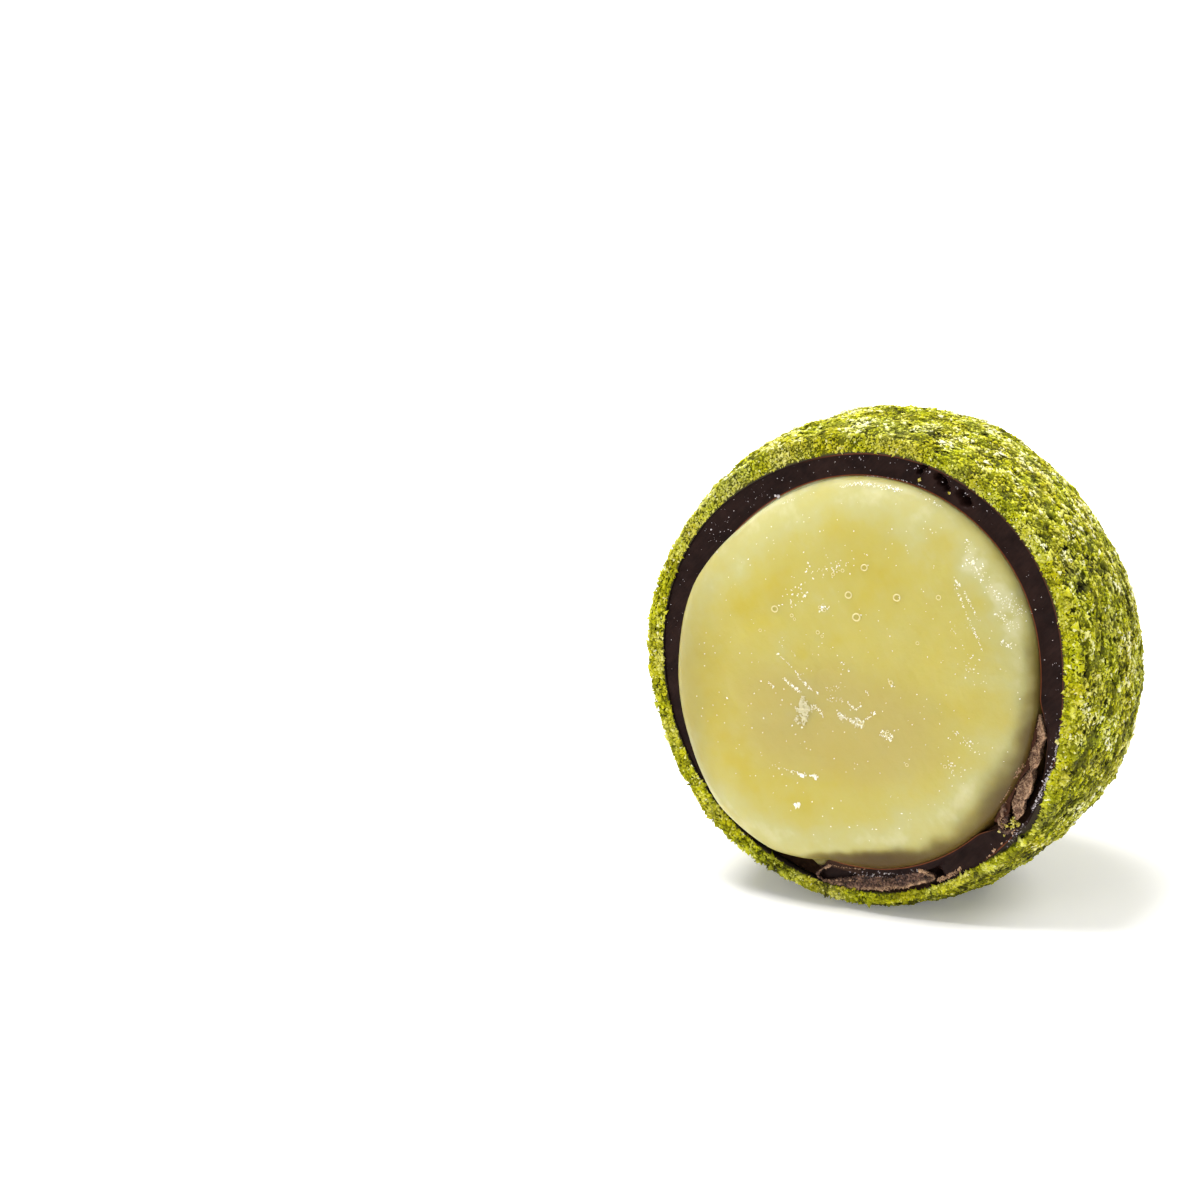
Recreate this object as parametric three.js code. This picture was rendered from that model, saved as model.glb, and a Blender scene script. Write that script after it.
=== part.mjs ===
// A ball-shaped chocolate praline, about 30 mm across, with one side sliced off. The slice shows
// its three layers: a coating of green crumbs, a shell of dark chocolate, and a pale cream filling
// that swells out of the cut and hangs over the shell at the lower left. The blade left the shell
// broken in three places: a sliver stands loose at the lower right, a chip lies on the underside,
// and beside the chip a stretch of the shell is missing.
//
// The part's frame is in millimetres, +Z up. Its origin is the middle of the flat underside that
// it rests on, and the cut faces -Y, leaning back a little.
// Inside the ball group the origin is the ball's centre, +Z points out of the cut, +X is to the
// right and +Y is up as the cut is looked at. "Polar" is the angle from that +Z axis, and
// "azimuth" is the angle round it, from +X towards +Y. "Height" is measured along +Z.

import * as THREE from "three";

// ---- Driving sizes, in millimetres and degrees ----

const BALL_RADIUS = 15; // to the outside of the coating
const SHELL_RADIUS = 14.15; // to the outside of the chocolate
const FILLING_RADIUS = 12.7; // to the inside of the chocolate
const THINNEST_COATING = 0.3;
const LAYER_GAP = 0.05; // clearance between one layer and the next

const CUT_HEIGHT = 4.63; // of the cut's plane over the ball's centre
const CUT_LEAN = 6.5; // how far the cut leans back from upright

const SEAT_DROP = 14.5; // from the ball's centre to the table, which flattens its underside
const COATING_UNDER_SHELL = 0.45; // thickness of the coating over the flat underside

const COATING_PROUD = 0.12; // how far the coating's rim stands out of the cut
const FILLING_EDGE_RISE = 0.55; // of the filling's widest line over the cut
const FILLING_DOME = 1.45; // from that line to the filling's crown
const FILLING_SHOULDER = 0.55; // powers that give the dome a flat crown and round shoulders
const FILLING_SLOPE = 0.9;
const OVERHANG_CLEARANCE = 0.06; // between the overhanging filling and the cut below it

// Uneven places of each surface: a swelling (or a hollow, where its height is negative) towards
// one direction of the ball, which fades out about one spread away.
const BALL_LOBES = [
  { polar: 115, azimuth: 40, spread: 18, height: -0.27 },
  { polar: 104, azimuth: 88, spread: 20, height: 0.22 },
  { polar: 107, azimuth: -20, spread: 16, height: 0.22 },
  { polar: 99, azimuth: -46, spread: 12, height: -0.2 },
  { polar: 84, azimuth: 125, spread: 16, height: 0.1 },
  { polar: 70, azimuth: 168, spread: 20, height: 0.35 },
  { polar: 67, azimuth: -128, spread: 17, height: 0.32 },
  { polar: 77, azimuth: -90, spread: 15, height: 0.3 },
  { polar: 120, azimuth: -90, spread: 22, height: 0.55 }, // carries the seat back under the weight
  { polar: 150, azimuth: 150, spread: 24, height: 0.3 },
  { polar: 158, azimuth: -20, spread: 20, height: -0.25 },
];
const SHELL_LOBES = [
  { polar: 72, azimuth: 112, spread: 28, height: -0.36 },
  { polar: 72, azimuth: 160, spread: 20, height: 0.35 },
  { polar: 72, azimuth: 2, spread: 20, height: -0.4 },
  { polar: 74, azimuth: -75, spread: 42, height: 0.4 },
];
const FILLING_LOBES = [
  { polar: 70, azimuth: 0, spread: 26, height: -0.33 },
  { polar: 70, azimuth: 135, spread: 32, height: -0.28 },
  { polar: 70, azimuth: -78, spread: 36, height: 0.5 },
];

// Values that change round the cut: [azimuth, value] pairs joined by straight lines.
const FILLING_OVERHANG = [
  [-180, 0.35],
  [-153, 0.75],
  [-133, 1.35],
  [-114, 1.05],
  [-98, 0],
  [95, 0],
  [112, -0.12],
  [138, 0],
  [160, 0.35],
];
const COATING_WEAR = [
  [-101, 0],
  [-93, 0.35],
  [-81, 0],
  [-55, 0],
  [-40, 0.4],
  [-19, 0.3],
  [-7, 0],
];
const MISSING_SHELL = [
  [-121, 0],
  [-119, 1.8],
  [-103, 1.8],
  [-101, 0],
];

// The slot where the sliver broke away from the inside of the shell.
const SLOT_WIDTH = [
  [-49, 0],
  [-43, 0.6],
  [-37, 1.75],
  [-25, 1.35],
  [-13, 0.8],
  [-7, 0.35],
  [-3, 0],
];
const SLOT_DEPTH = [
  [-49, 0],
  [-43, 0.5],
  [-37, 1.8],
  [-25, 1.6],
  [-19, 1.2],
  [-13, 0.6],
  [-3, 0],
];
const SHALLOWEST_SLOT = 0.3;
const SLOT_BEVEL = 0.2;

// The outer part of the shell's cut is a ledge under the chip, with a notch beside it.
const LEDGE_SHARE = 0.7; // of the shell's thickness
const LEDGE_DEPTH = [
  [-103, 0],
  [-101, 0.35],
  [-69, 0.35],
  [-67, 0.8],
  [-65, 0.8],
  [-63, 0],
];
const LEDGE_RISER = 0.04;

// The loose sliver. It leans on the filling, and its top stands out of the cut.
const SLIVER_REACH = { from: -38, to: -8, steps: 15 };
const SLIVER_OUTSIDE = [
  [-38, 13.0],
  [-29, 12.6],
  [-23, 12.3],
  [-15, 12.0],
  [-8, 11.7],
];
const SLIVER_TOP = [
  [-38, 0.05],
  [-33, 0.3],
  [-24, 0.2],
  [-17, 0.4],
  [-8, 0.1],
];
const SLIVER_CLEARANCE = 0.12;
const SLIVER_FOOT_SHARE = 0.6; // of the slot's width at its bottom

// The chip on the underside, which curls up at its left end.
const CHIP_REACH = { from: -100.5, to: -69.5, steps: 16 };
const CHIP_INSIDE = [
  [-100.5, 12.9],
  [-95, 13.0],
  [-86, 12.9],
  [-69.5, 12.95],
];
const CHIP_TOP = [
  [-100.5, 0.42],
  [-97, 0.12],
  [-85, 0.16],
  [-78, 0.05],
  [-69.5, 0.14],
];
const CHIP_INNER_TOP_SHARE = 0.6;

// ---- How finely the round surfaces are divided ----

const COLUMN_STEP = 6; // degrees of azimuth
const BREAK_COLUMNS = [-121, -119, -103, -101, -69, -67, -65, -63]; // where a break begins or ends
const OUTSIDE_RINGS = 15;
const LAYER_RINGS = 8;
const DOME_RINGS = 8;

const rad = THREE.MathUtils.degToRad;
const deg = THREE.MathUtils.radToDeg;
const UP = new THREE.Vector3(0, Math.cos(rad(CUT_LEAN)), Math.sin(rad(CUT_LEAN)));

// ---- Helpers ----

function azimuthColumns() {
  const even = Array.from({ length: 360 / COLUMN_STEP }, (_, i) => -180 + i * COLUMN_STEP);
  return [...even, ...BREAK_COLUMNS].sort((a, b) => a - b);
}

// The value of [azimuth, value] pairs at an azimuth, which keeps its end values beyond both ends.
function along(pairs, azimuth) {
  const next = pairs.findIndex(([at]) => at >= azimuth);
  if (next < 0) return pairs[pairs.length - 1][1];
  if (next === 0) return pairs[0][1];
  const [a, low] = pairs[next - 1];
  const [b, high] = pairs[next];
  return THREE.MathUtils.mapLinear(azimuth, a, b, low, high);
}

function direction(polar, azimuth) {
  const across = Math.sin(rad(polar));
  return new THREE.Vector3(
    across * Math.cos(rad(azimuth)),
    across * Math.sin(rad(azimuth)),
    Math.cos(rad(polar)),
  );
}

// A point from its azimuth, its distance from the +Z axis, and its height.
function point(azimuth, away, height) {
  return new THREE.Vector3(away * Math.cos(rad(azimuth)), away * Math.sin(rad(azimuth)), height);
}

function swelling(towards, lobes) {
  return lobes.reduce((sum, { polar, azimuth, spread, height }) => {
    const far = towards.angleTo(direction(polar, azimuth)) / rad(spread);
    return sum + height * Math.exp(-far * far);
  }, 0);
}

// ---- Surfaces of the layers, as the distance from the ball's centre in a direction ----

// The distance to a level that lies a given height above the table.
function reachToTable(towards, height) {
  const fall = -towards.dot(UP);
  return fall > 0 ? (SEAT_DROP - height) / fall : Infinity;
}

function fillingSurface(towards) {
  return FILLING_RADIUS + swelling(towards, FILLING_LOBES);
}

function shellSurface(towards) {
  const round = SHELL_RADIUS + swelling(towards, SHELL_LOBES);
  return Math.min(round, reachToTable(towards, COATING_UNDER_SHELL));
}

function ballSurface(towards) {
  const round = BALL_RADIUS + swelling(towards, BALL_LOBES);
  const covering = Math.max(round, shellSurface(towards) + THINNEST_COATING);
  return Math.min(covering, reachToTable(towards, 0));
}

// The polar angle at which a surface reaches a height, on one azimuth.
function polarAt(surface, azimuth, height) {
  let polar = 70;
  for (let i = 0; i < 12; i++) {
    polar = deg(Math.acos(height / surface(direction(polar, azimuth))));
  }
  return polar;
}

// How far a surface lies from the +Z axis at a height.
function awayAt(surface, azimuth, height) {
  return height * Math.tan(rad(polarAt(surface, azimuth, height)));
}

// Points on a surface, from a polar angle to the back of the ball, which is one point.
function ringsToBack(surface, azimuth, fromPolar, rings, shift = 0) {
  return Array.from({ length: rings + 1 }, (_, i) => {
    const polar = THREE.MathUtils.lerp(fromPolar, 180, i / rings);
    const towards = i === rings ? new THREE.Vector3(0, 0, -1) : direction(polar, azimuth);
    return towards.clone().multiplyScalar(surface(towards) + shift);
  });
}

// ---- Closed meshes ----

// Joins two rings of points and returns the triangles. Each four-sided face is split from its
// lower corner on the first column, so that two layers that touch are split alike.
function stitch(points, from, to, count) {
  const faces = [];
  for (let i = 0; i < count; i++) {
    const j = (i + 1) % count;
    if (points[from + i].z < points[to + i].z) {
      faces.push(from + i, from + j, to + j, from + i, to + j, to + i);
    } else {
      faces.push(from + i, from + j, to + i, from + j, to + j, to + i);
    }
  }
  return faces;
}

function meshOf(name, points, faces, material) {
  const geometry = new THREE.BufferGeometry().setFromPoints(points);
  geometry.setIndex(faces);
  geometry.computeVertexNormals();
  const mesh = new THREE.Mesh(geometry, material);
  mesh.name = name;
  return mesh;
}

// A body turned about +Z whose profile may differ on every azimuth. Each profile has the same
// number of points, and starts and ends on the axis.
function turnedBody(name, profileAt, material) {
  const columns = azimuthColumns();
  const profiles = columns.map(profileAt);
  const last = profiles[0].length - 1;
  const points = [profiles[0][0], profiles[0][last]];
  const faces = [];
  for (let ring = 1; ring < last; ring++) {
    points.push(...profiles.map((profile) => profile[ring]));
  }
  const start = (ring) => 2 + (ring - 1) * columns.length;
  columns.forEach((_, i) => {
    const j = (i + 1) % columns.length;
    faces.push(0, start(1) + j, start(1) + i);
    faces.push(1, start(last - 1) + i, start(last - 1) + j);
  });
  for (let ring = 1; ring < last - 1; ring++) {
    faces.push(...stitch(points, start(ring), start(ring + 1), columns.length));
  }
  return meshOf(name, points, faces, material);
}

// A body swept through sections of four corners each, closed by its first and last section.
function sweptBody(name, { from, to, steps }, sectionAt, material) {
  const sections = Array.from({ length: steps + 1 }, (_, i) =>
    sectionAt(THREE.MathUtils.lerp(from, to, i / steps)),
  );
  const points = sections.flat();
  const faces = [0, 2, 1, 0, 3, 2];
  for (let i = 0; i < steps; i++) {
    faces.push(...stitch(points, i * 4, (i + 1) * 4, 4));
  }
  const end = steps * 4;
  faces.push(end, end + 1, end + 2, end, end + 2, end + 3);
  return meshOf(name, points, faces, material);
}

// ---- The shell's cut and its breaks ----

function shellCut(azimuth) {
  const face = CUT_HEIGHT - along(MISSING_SHELL, azimuth);
  const ledge = face - along(LEDGE_DEPTH, azimuth);
  const outside = awayAt(shellSurface, azimuth, ledge);
  const inside = awayAt(fillingSurface, azimuth, face);
  const slotWall = inside + along(SLOT_WIDTH, azimuth);
  const slotFloor = face - Math.max(SHALLOWEST_SLOT, along(SLOT_DEPTH, azimuth));
  return { face, ledge, outside, inside, slotWall, slotFloor };
}

// The polar angle from which the inside of the shell is whole.
function wholeInside(azimuth) {
  return polarAt(fillingSurface, azimuth, shellCut(azimuth).slotFloor - SLOT_BEVEL);
}

// The polar angle from which the outside of the shell is whole.
function wholeOutside(azimuth) {
  return polarAt(shellSurface, azimuth, shellCut(azimuth).ledge);
}

// ---- Profiles, each from the outermost point at the back to the innermost ----

function coatingProfile(azimuth) {
  const rim = CUT_HEIGHT + COATING_PROUD;
  const outerRim = rim - along(COATING_WEAR, azimuth);
  const outside = ringsToBack(
    ballSurface,
    azimuth,
    polarAt(ballSurface, azimuth, outerRim),
    OUTSIDE_RINGS,
  );
  const innerRim = point(azimuth, awayAt(shellSurface, azimuth, rim) + LAYER_GAP, rim);
  const inside = ringsToBack(shellSurface, azimuth, wholeOutside(azimuth), LAYER_RINGS, LAYER_GAP);
  return [...outside.reverse(), innerRim, ...inside];
}

function shellProfile(azimuth) {
  const { face, ledge, outside, inside, slotWall, slotFloor } = shellCut(azimuth);
  const ledgeEnd = outside - LEDGE_SHARE * (outside - inside);
  const slotCorner = Math.max(slotWall, awayAt(fillingSurface, azimuth, slotFloor));
  return [
    ...ringsToBack(shellSurface, azimuth, wholeOutside(azimuth), LAYER_RINGS).reverse(),
    point(azimuth, Math.max(ledgeEnd, slotWall + 2 * LEDGE_RISER), ledge),
    point(azimuth, Math.max(ledgeEnd - LEDGE_RISER, slotWall + LEDGE_RISER), face),
    point(azimuth, slotWall, face),
    point(azimuth, slotCorner, slotFloor),
    ...ringsToBack(fillingSurface, azimuth, wholeInside(azimuth), LAYER_RINGS),
  ];
}

function fillingProfile(azimuth) {
  const neck = awayAt(fillingSurface, azimuth, CUT_HEIGHT) - LAYER_GAP;
  const widest = neck + along(FILLING_OVERHANG, azimuth);
  const inShell = ringsToBack(
    fillingSurface,
    azimuth,
    wholeInside(azimuth),
    LAYER_RINGS,
    -LAYER_GAP,
  );
  const dome = Array.from({ length: DOME_RINGS + 1 }, (_, i) => {
    const angle = ((i / DOME_RINGS) * Math.PI) / 2;
    const away = i === DOME_RINGS ? 0 : widest * Math.cos(angle) ** FILLING_SHOULDER;
    const rise = FILLING_EDGE_RISE + FILLING_DOME * Math.sin(angle) ** FILLING_SLOPE;
    return point(azimuth, away, CUT_HEIGHT + rise);
  });
  return [
    ...inShell.reverse(),
    point(azimuth, neck, CUT_HEIGHT),
    point(azimuth, widest, CUT_HEIGHT + OVERHANG_CLEARANCE),
    ...dome,
  ];
}

// ---- Sections of the broken pieces ----

function sliverSection(azimuth) {
  const { slotWall, slotFloor } = shellCut(azimuth);
  const clear = (towards) => fillingSurface(towards) + SLIVER_CLEARANCE;
  const top = CUT_HEIGHT + along(SLIVER_TOP, azimuth);
  const floor = slotFloor + SLIVER_CLEARANCE;
  const footInside = awayAt(clear, azimuth, floor);
  const footOutside = THREE.MathUtils.lerp(footInside, slotWall, SLIVER_FOOT_SHARE);
  return [
    point(azimuth, awayAt(clear, azimuth, CUT_HEIGHT), top),
    point(azimuth, along(SLIVER_OUTSIDE, azimuth), top),
    point(azimuth, footOutside, floor),
    point(azimuth, footInside, floor),
  ];
}

function chipSection(azimuth) {
  const bottom = shellCut(azimuth).ledge + LAYER_GAP;
  const top = along(CHIP_TOP, azimuth);
  const inside = along(CHIP_INSIDE, azimuth);
  const edge = awayAt(shellSurface, azimuth, CUT_HEIGHT + COATING_PROUD) - LAYER_GAP;
  return [
    point(azimuth, inside, CUT_HEIGHT + top * CHIP_INNER_TOP_SHARE),
    point(azimuth, edge, CUT_HEIGHT + top),
    point(azimuth, edge, bottom),
    point(azimuth, inside, bottom),
  ];
}

// ---- Materials ----

const crumb = new THREE.MeshStandardMaterial({ color: "#8f9a2c", roughness: 0.95 });
const chocolate = new THREE.MeshStandardMaterial({ color: "#33211f", roughness: 0.42 });
const cream = new THREE.MeshStandardMaterial({ color: "#dcd08c", roughness: 0.35 });
const brokenChocolate = new THREE.MeshStandardMaterial({ color: "#75584a", roughness: 0.85 });

// ---- The praline ----

const ball = new THREE.Group();
ball.position.z = SEAT_DROP;
ball.rotation.x = rad(90 - CUT_LEAN);
ball.add(
  turnedBody("coating", coatingProfile, crumb),
  turnedBody("shell", shellProfile, chocolate),
  turnedBody("filling", fillingProfile, cream),
  sweptBody("side_sliver", SLIVER_REACH, sliverSection, brokenChocolate),
  sweptBody("bottom_chip", CHIP_REACH, chipSection, brokenChocolate),
);

const praline = new THREE.Group();
praline.add(ball);

export default praline;
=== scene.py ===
"""The looks of the cut chocolate praline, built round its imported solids.

Shapes are worked out in millimetres in the ball's own frame, which part.mjs uses too: the origin
is the ball's centre, +Z points out of the cut, +X is to the right and +Y is up as the cut is
looked at. "Polar" is the angle from +Z and "azimuth" the angle round it, from +X towards +Y, both
in degrees. "Height" is measured along +Z and "away" is the distance from that axis. Only the
making of a mesh turns them into the row frame's metres.
"""

import itertools
import math

import bpy
import numpy as np
from mathutils import Matrix, Vector


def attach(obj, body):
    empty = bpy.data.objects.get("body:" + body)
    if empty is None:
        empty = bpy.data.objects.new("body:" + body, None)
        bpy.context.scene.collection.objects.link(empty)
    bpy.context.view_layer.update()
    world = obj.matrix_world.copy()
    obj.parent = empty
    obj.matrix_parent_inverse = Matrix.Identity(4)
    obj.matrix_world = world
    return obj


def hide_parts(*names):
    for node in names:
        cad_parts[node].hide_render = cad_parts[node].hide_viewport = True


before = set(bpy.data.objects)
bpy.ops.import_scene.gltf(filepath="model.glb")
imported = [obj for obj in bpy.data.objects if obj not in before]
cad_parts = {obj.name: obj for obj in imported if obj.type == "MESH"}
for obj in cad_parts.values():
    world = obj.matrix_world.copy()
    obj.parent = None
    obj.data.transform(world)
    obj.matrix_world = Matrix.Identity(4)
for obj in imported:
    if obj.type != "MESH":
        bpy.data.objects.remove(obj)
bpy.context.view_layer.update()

# ---- Driving sizes ----
# They are the solids' own. Only the ball's lobe at azimuth 176 and the shell's at 160 differ: they
# dress the outline up to a quarter of a millimetre lower than the solids have it.

MM = 0.001
BALL_RADIUS = 15.0
SHELL_RADIUS = 14.15
FILLING_RADIUS = 12.7
THINNEST_COATING = 0.3
LAYER_GAP = 0.05
CUT_HEIGHT = 4.63
CUT_LEAN = 6.5
SEAT_DROP = 14.5
COATING_UNDER_SHELL = 0.45
COATING_PROUD = 0.12
FILLING_EDGE_RISE = 0.55
FILLING_DOME = 1.45
FILLING_SHOULDER = 0.55
FILLING_SLOPE = 0.9
OVERHANG_CLEARANCE = 0.06

# Uneven places of each surface: (polar, azimuth, spread, height) of a swelling or a hollow.
BALL_LOBES = (
    (115, 40, 18, -0.27), (104, 88, 20, 0.22), (107, -20, 16, 0.22), (99, -46, 12, -0.2),
    (84, 125, 16, 0.1), (70, 176, 20, 0.28), (67, -128, 17, 0.32), (77, -90, 15, 0.3),
    (120, -90, 22, 0.55), (150, 150, 24, 0.3), (158, -20, 20, -0.25),
)
SHELL_LOBES = ((72, 112, 28, -0.36), (72, 160, 20, 0.1), (72, 2, 20, -0.4), (74, -75, 42, 0.4))
FILLING_LOBES = ((70, 0, 26, -0.33), (70, 135, 32, -0.28), (70, -78, 36, 0.5))

# Values that change round the cut: (azimuth, value) pairs.
FILLING_OVERHANG = (
    (-180, 0.35), (-153, 0.75), (-133, 1.35), (-114, 1.05), (-98, 0), (95, 0), (112, -0.12), (138, 0),
    (160, 0.35),
)
COATING_WEAR = ((-101, 0), (-93, 0.35), (-81, 0), (-55, 0), (-40, 0.4), (-19, 0.3), (-7, 0))
MISSING_SHELL = ((-121, 0), (-119, 1.8), (-103, 1.8), (-101, 0))
SLOT_WIDTH = ((-49, 0), (-43, 0.6), (-37, 1.75), (-25, 1.35), (-13, 0.8), (-7, 0.35), (-3, 0))
SLOT_DEPTH = ((-49, 0), (-43, 0.5), (-37, 1.8), (-25, 1.6), (-19, 1.2), (-13, 0.6), (-3, 0))
SHALLOWEST_SLOT = 0.3
LEDGE_SHARE = 0.7
LEDGE_DEPTH = (
    (-103, 0), (-101, 0.35), (-69, 0.35), (-67.6, 0.6), (-66.8, 0.6), (-65.2, 0.15), (-62, 0),
)
CRUMBLY_LEDGE = ((-92, 0), (-88, 0.8), (-70, 0.8), (-68, 0))

# ---- The ball's frame in the row frame ----

LEAN = math.radians(CUT_LEAN)
BALL_CENTRE = np.array((0.0, 0.0, SEAT_DROP))
BALL_AXES = np.array((
    (1.0, 0.0, 0.0),
    (0.0, math.sin(LEAN), math.cos(LEAN)),
    (0.0, -math.cos(LEAN), math.sin(LEAN)),
))
UP = np.array((0.0, math.cos(LEAN), math.sin(LEAN)))
AXIS = np.array((0.0, 0.0, 1.0))


def to_row(points):
    """Points of the ball's frame, in millimetres, in the row frame's metres."""
    return (points @ BALL_AXES + BALL_CENTRE) * MM


# ---- Arithmetic on arrays of points ----

def unit(vectors):
    return vectors / np.linalg.norm(vectors, axis=-1, keepdims=True)


def directions(polar, azimuth):
    polar, azimuth = np.broadcast_arrays(np.radians(polar), np.radians(azimuth))
    across = np.sin(polar)
    return np.stack((across * np.cos(azimuth), across * np.sin(azimuth), np.cos(polar)), -1)


def cylinder(azimuth, away, height):
    """Points from azimuth, distance from the axis and height."""
    azimuth, away, height = np.broadcast_arrays(np.radians(azimuth), away, height)
    return np.stack((away * np.cos(azimuth), away * np.sin(azimuth), height), -1)


def azimuth_of(x, y):
    return np.degrees(np.arctan2(y, x))


def on_cut(x, y):
    """Points of a plane like the cut's, at which noise is taken for what lies on the cut."""
    return np.stack((x, y, np.zeros_like(x)), -1)


def step_up(value, soft):
    """A soft step from 0 to 1, where the value rises past 0."""
    return 1 / (1 + np.exp(np.clip(-value / soft, -50, 50)))


ROUND_STEP = 0.5
ROUND_REACH = 20


def round_cut(pairs, azimuth, soft=1.5):
    """The value of (azimuth, value) pairs at each azimuth, joined by lines and then softened over
    that many degrees."""
    at, values = np.array(pairs, float).T
    fine = np.arange(-180, 180, ROUND_STEP)
    table = np.interp(fine, at, values, period=360)
    spread = np.exp(-((np.arange(-ROUND_REACH, ROUND_REACH + 1) * ROUND_STEP / soft) ** 2))
    spread /= spread.sum()
    wrapped = np.concatenate((table[-ROUND_REACH:], table, table[:ROUND_REACH]))
    return np.interp(azimuth, fine, np.convolve(wrapped, spread, "valid"), period=360)


RANDOM = np.random.default_rng(11)
NOISE_SLOPES = unit(RANDOM.normal(size=(256, 3)))
NOISE_ORDER = RANDOM.permutation(256)
NOISE_GAIN = 1.7
SEED_APART = 19.37


def noise(points, size, seed=0):
    """Smooth noise from about -1 to 1 whose swells are about that size."""
    flat = np.asarray(points, float).reshape(-1, 3) / size + seed * SEED_APART
    cell = np.floor(flat).astype(int)
    inside = flat - cell
    fade = inside**3 * (inside * (inside * 6 - 15) + 10)
    total = np.zeros(len(flat))
    for corner in itertools.product((0, 1), repeat=3):
        x, y, z = (cell + corner).T
        order = NOISE_ORDER[(NOISE_ORDER[(NOISE_ORDER[x & 255] + y) & 255] + z) & 255]
        slope = (NOISE_SLOPES[order] * (inside - corner)).sum(1)
        total += slope * np.where(corner, fade, 1 - fade).prod(1)
    return NOISE_GAIN * total.reshape(np.shape(points)[:-1])


def layered(points, *waves):
    """A sum of noises, each given by its strength, size and seed."""
    return sum(strength * noise(points, size, seed) for strength, size, seed in waves)


# ---- Surfaces of the layers, as the distance from the ball's centre ----

def swelling(towards, lobes):
    total = 0.0
    for polar, azimuth, spread, height in lobes:
        apart = np.degrees(np.arccos(np.clip(towards @ directions(polar, azimuth), -1, 1)))
        total = total + height * np.exp(-((apart / spread) ** 2))
    return total


FLATTEST_FALL = 0.01
OUT_OF_REACH = 1e3


def reach_to_table(towards, height):
    """How far it is from the ball's centre down to a height over the table."""
    fall = -(towards @ UP)
    reach = (SEAT_DROP - height) / np.maximum(fall, FLATTEST_FALL)
    return np.where(fall > FLATTEST_FALL, reach, OUT_OF_REACH)


def filling_surface(towards):
    return FILLING_RADIUS + swelling(towards, FILLING_LOBES)


def shell_surface(towards):
    around = SHELL_RADIUS + swelling(towards, SHELL_LOBES)
    return np.minimum(around, reach_to_table(towards, COATING_UNDER_SHELL))


def ball_surface(towards):
    around = BALL_RADIUS + swelling(towards, BALL_LOBES)
    covering = np.maximum(around, shell_surface(towards) + THINNEST_COATING)
    return np.minimum(covering, reach_to_table(towards, 0))


FIRST_POLAR = 70.0
POLAR_ROUNDS = 12


def polar_at(surface, azimuth, height):
    """The polar angle at which a surface reaches a height, on each azimuth."""
    polar = np.full(np.shape(azimuth), FIRST_POLAR)
    for _ in range(POLAR_ROUNDS):
        polar = np.degrees(np.arccos(height / surface(directions(polar, azimuth))))
    return polar


def away_at(surface, azimuth, height):
    return height * np.tan(np.radians(polar_at(surface, azimuth, height)))


def ring_azimuths(columns):
    return np.arange(columns) * 360 / columns - 180


def rings_to_back(surface, azimuth, height, rings, shift=0.0):
    """Rings of points on a surface, evenly spaced from a height to the point at the back."""
    from_polar = polar_at(surface, azimuth, height)
    polar = from_polar + (180 - from_polar) * np.linspace(0, 1, rings + 1)[:, None]
    towards = directions(polar, azimuth[None, :])
    return towards * (surface(towards) + shift)[..., None]


def joined(corners):
    """Rings on straight lines from each corner of a profile to the next, without the last corner.
    corners holds each corner's ring of points and the number of steps to the next one."""
    rings = []
    for (start, steps), (end, _) in zip(corners, corners[1:]):
        rings.append(start + (end - start) * (np.arange(steps)[:, None, None] / steps))
    return rings


# ---- Meshes from arrays ----

def make_piece(name, points, faces, material, slot, smooth=True, **attributes):
    """A mesh piece of points in the ball's frame and of faces, a list of arrays of corner indices."""
    mesh = bpy.data.meshes.new(name)
    faces = [face for part in faces for face in part.tolist()]
    mesh.from_pydata(to_row(points).tolist(), [], faces, shade_flat=not smooth)
    for key, values in attributes.items():
        mesh.attributes.new(key, "FLOAT", "POINT").data.foreach_set("value", values.astype(np.float32))
    mesh.materials.append(material)
    piece = bpy.data.objects.new(name, mesh)
    bpy.context.scene.collection.objects.link(piece)
    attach(piece, "root")
    return piece


def make_turned(name, rows, material, slot, **attributes):
    """A closed piece turned about +Z. rows holds one ring of points for each step of the profile, and
    its first and last ring are single points on the axis. Each attribute has a value for each point."""
    def in_order(values):
        return np.concatenate((values[:1, 0], values[-1:, 0], *values[1:-1]))

    steps, columns = rows.shape[:2]
    here = np.arange(-columns, (steps - 1) * columns).reshape(steps, columns) + 2
    here[0] = 0
    here[-1] = 1
    after = np.roll(here, -1, 1)
    faces = [
        np.stack((here[0], after[1], here[1]), 1),
        np.stack((here[-1], here[-2], after[-2]), 1),
        np.stack((here[1:-2], after[1:-2], after[2:-1], here[2:-1]), -1).reshape(-1, 4),
    ]
    attributes = {key: in_order(values) for key, values in attributes.items()}
    return make_piece(name, in_order(rows), faces, material, slot, **attributes)


# ---- Node graphs ----

def colour(red, green, blue):
    """A linear colour from the 0 to 255 that a screen shows."""
    parts = np.array((red, green, blue)) / 255
    linear = np.where(parts <= 0.04045, parts / 12.92, ((parts + 0.055) / 1.055) ** 2.4)
    return (*linear.tolist(), 1.0)


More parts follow.
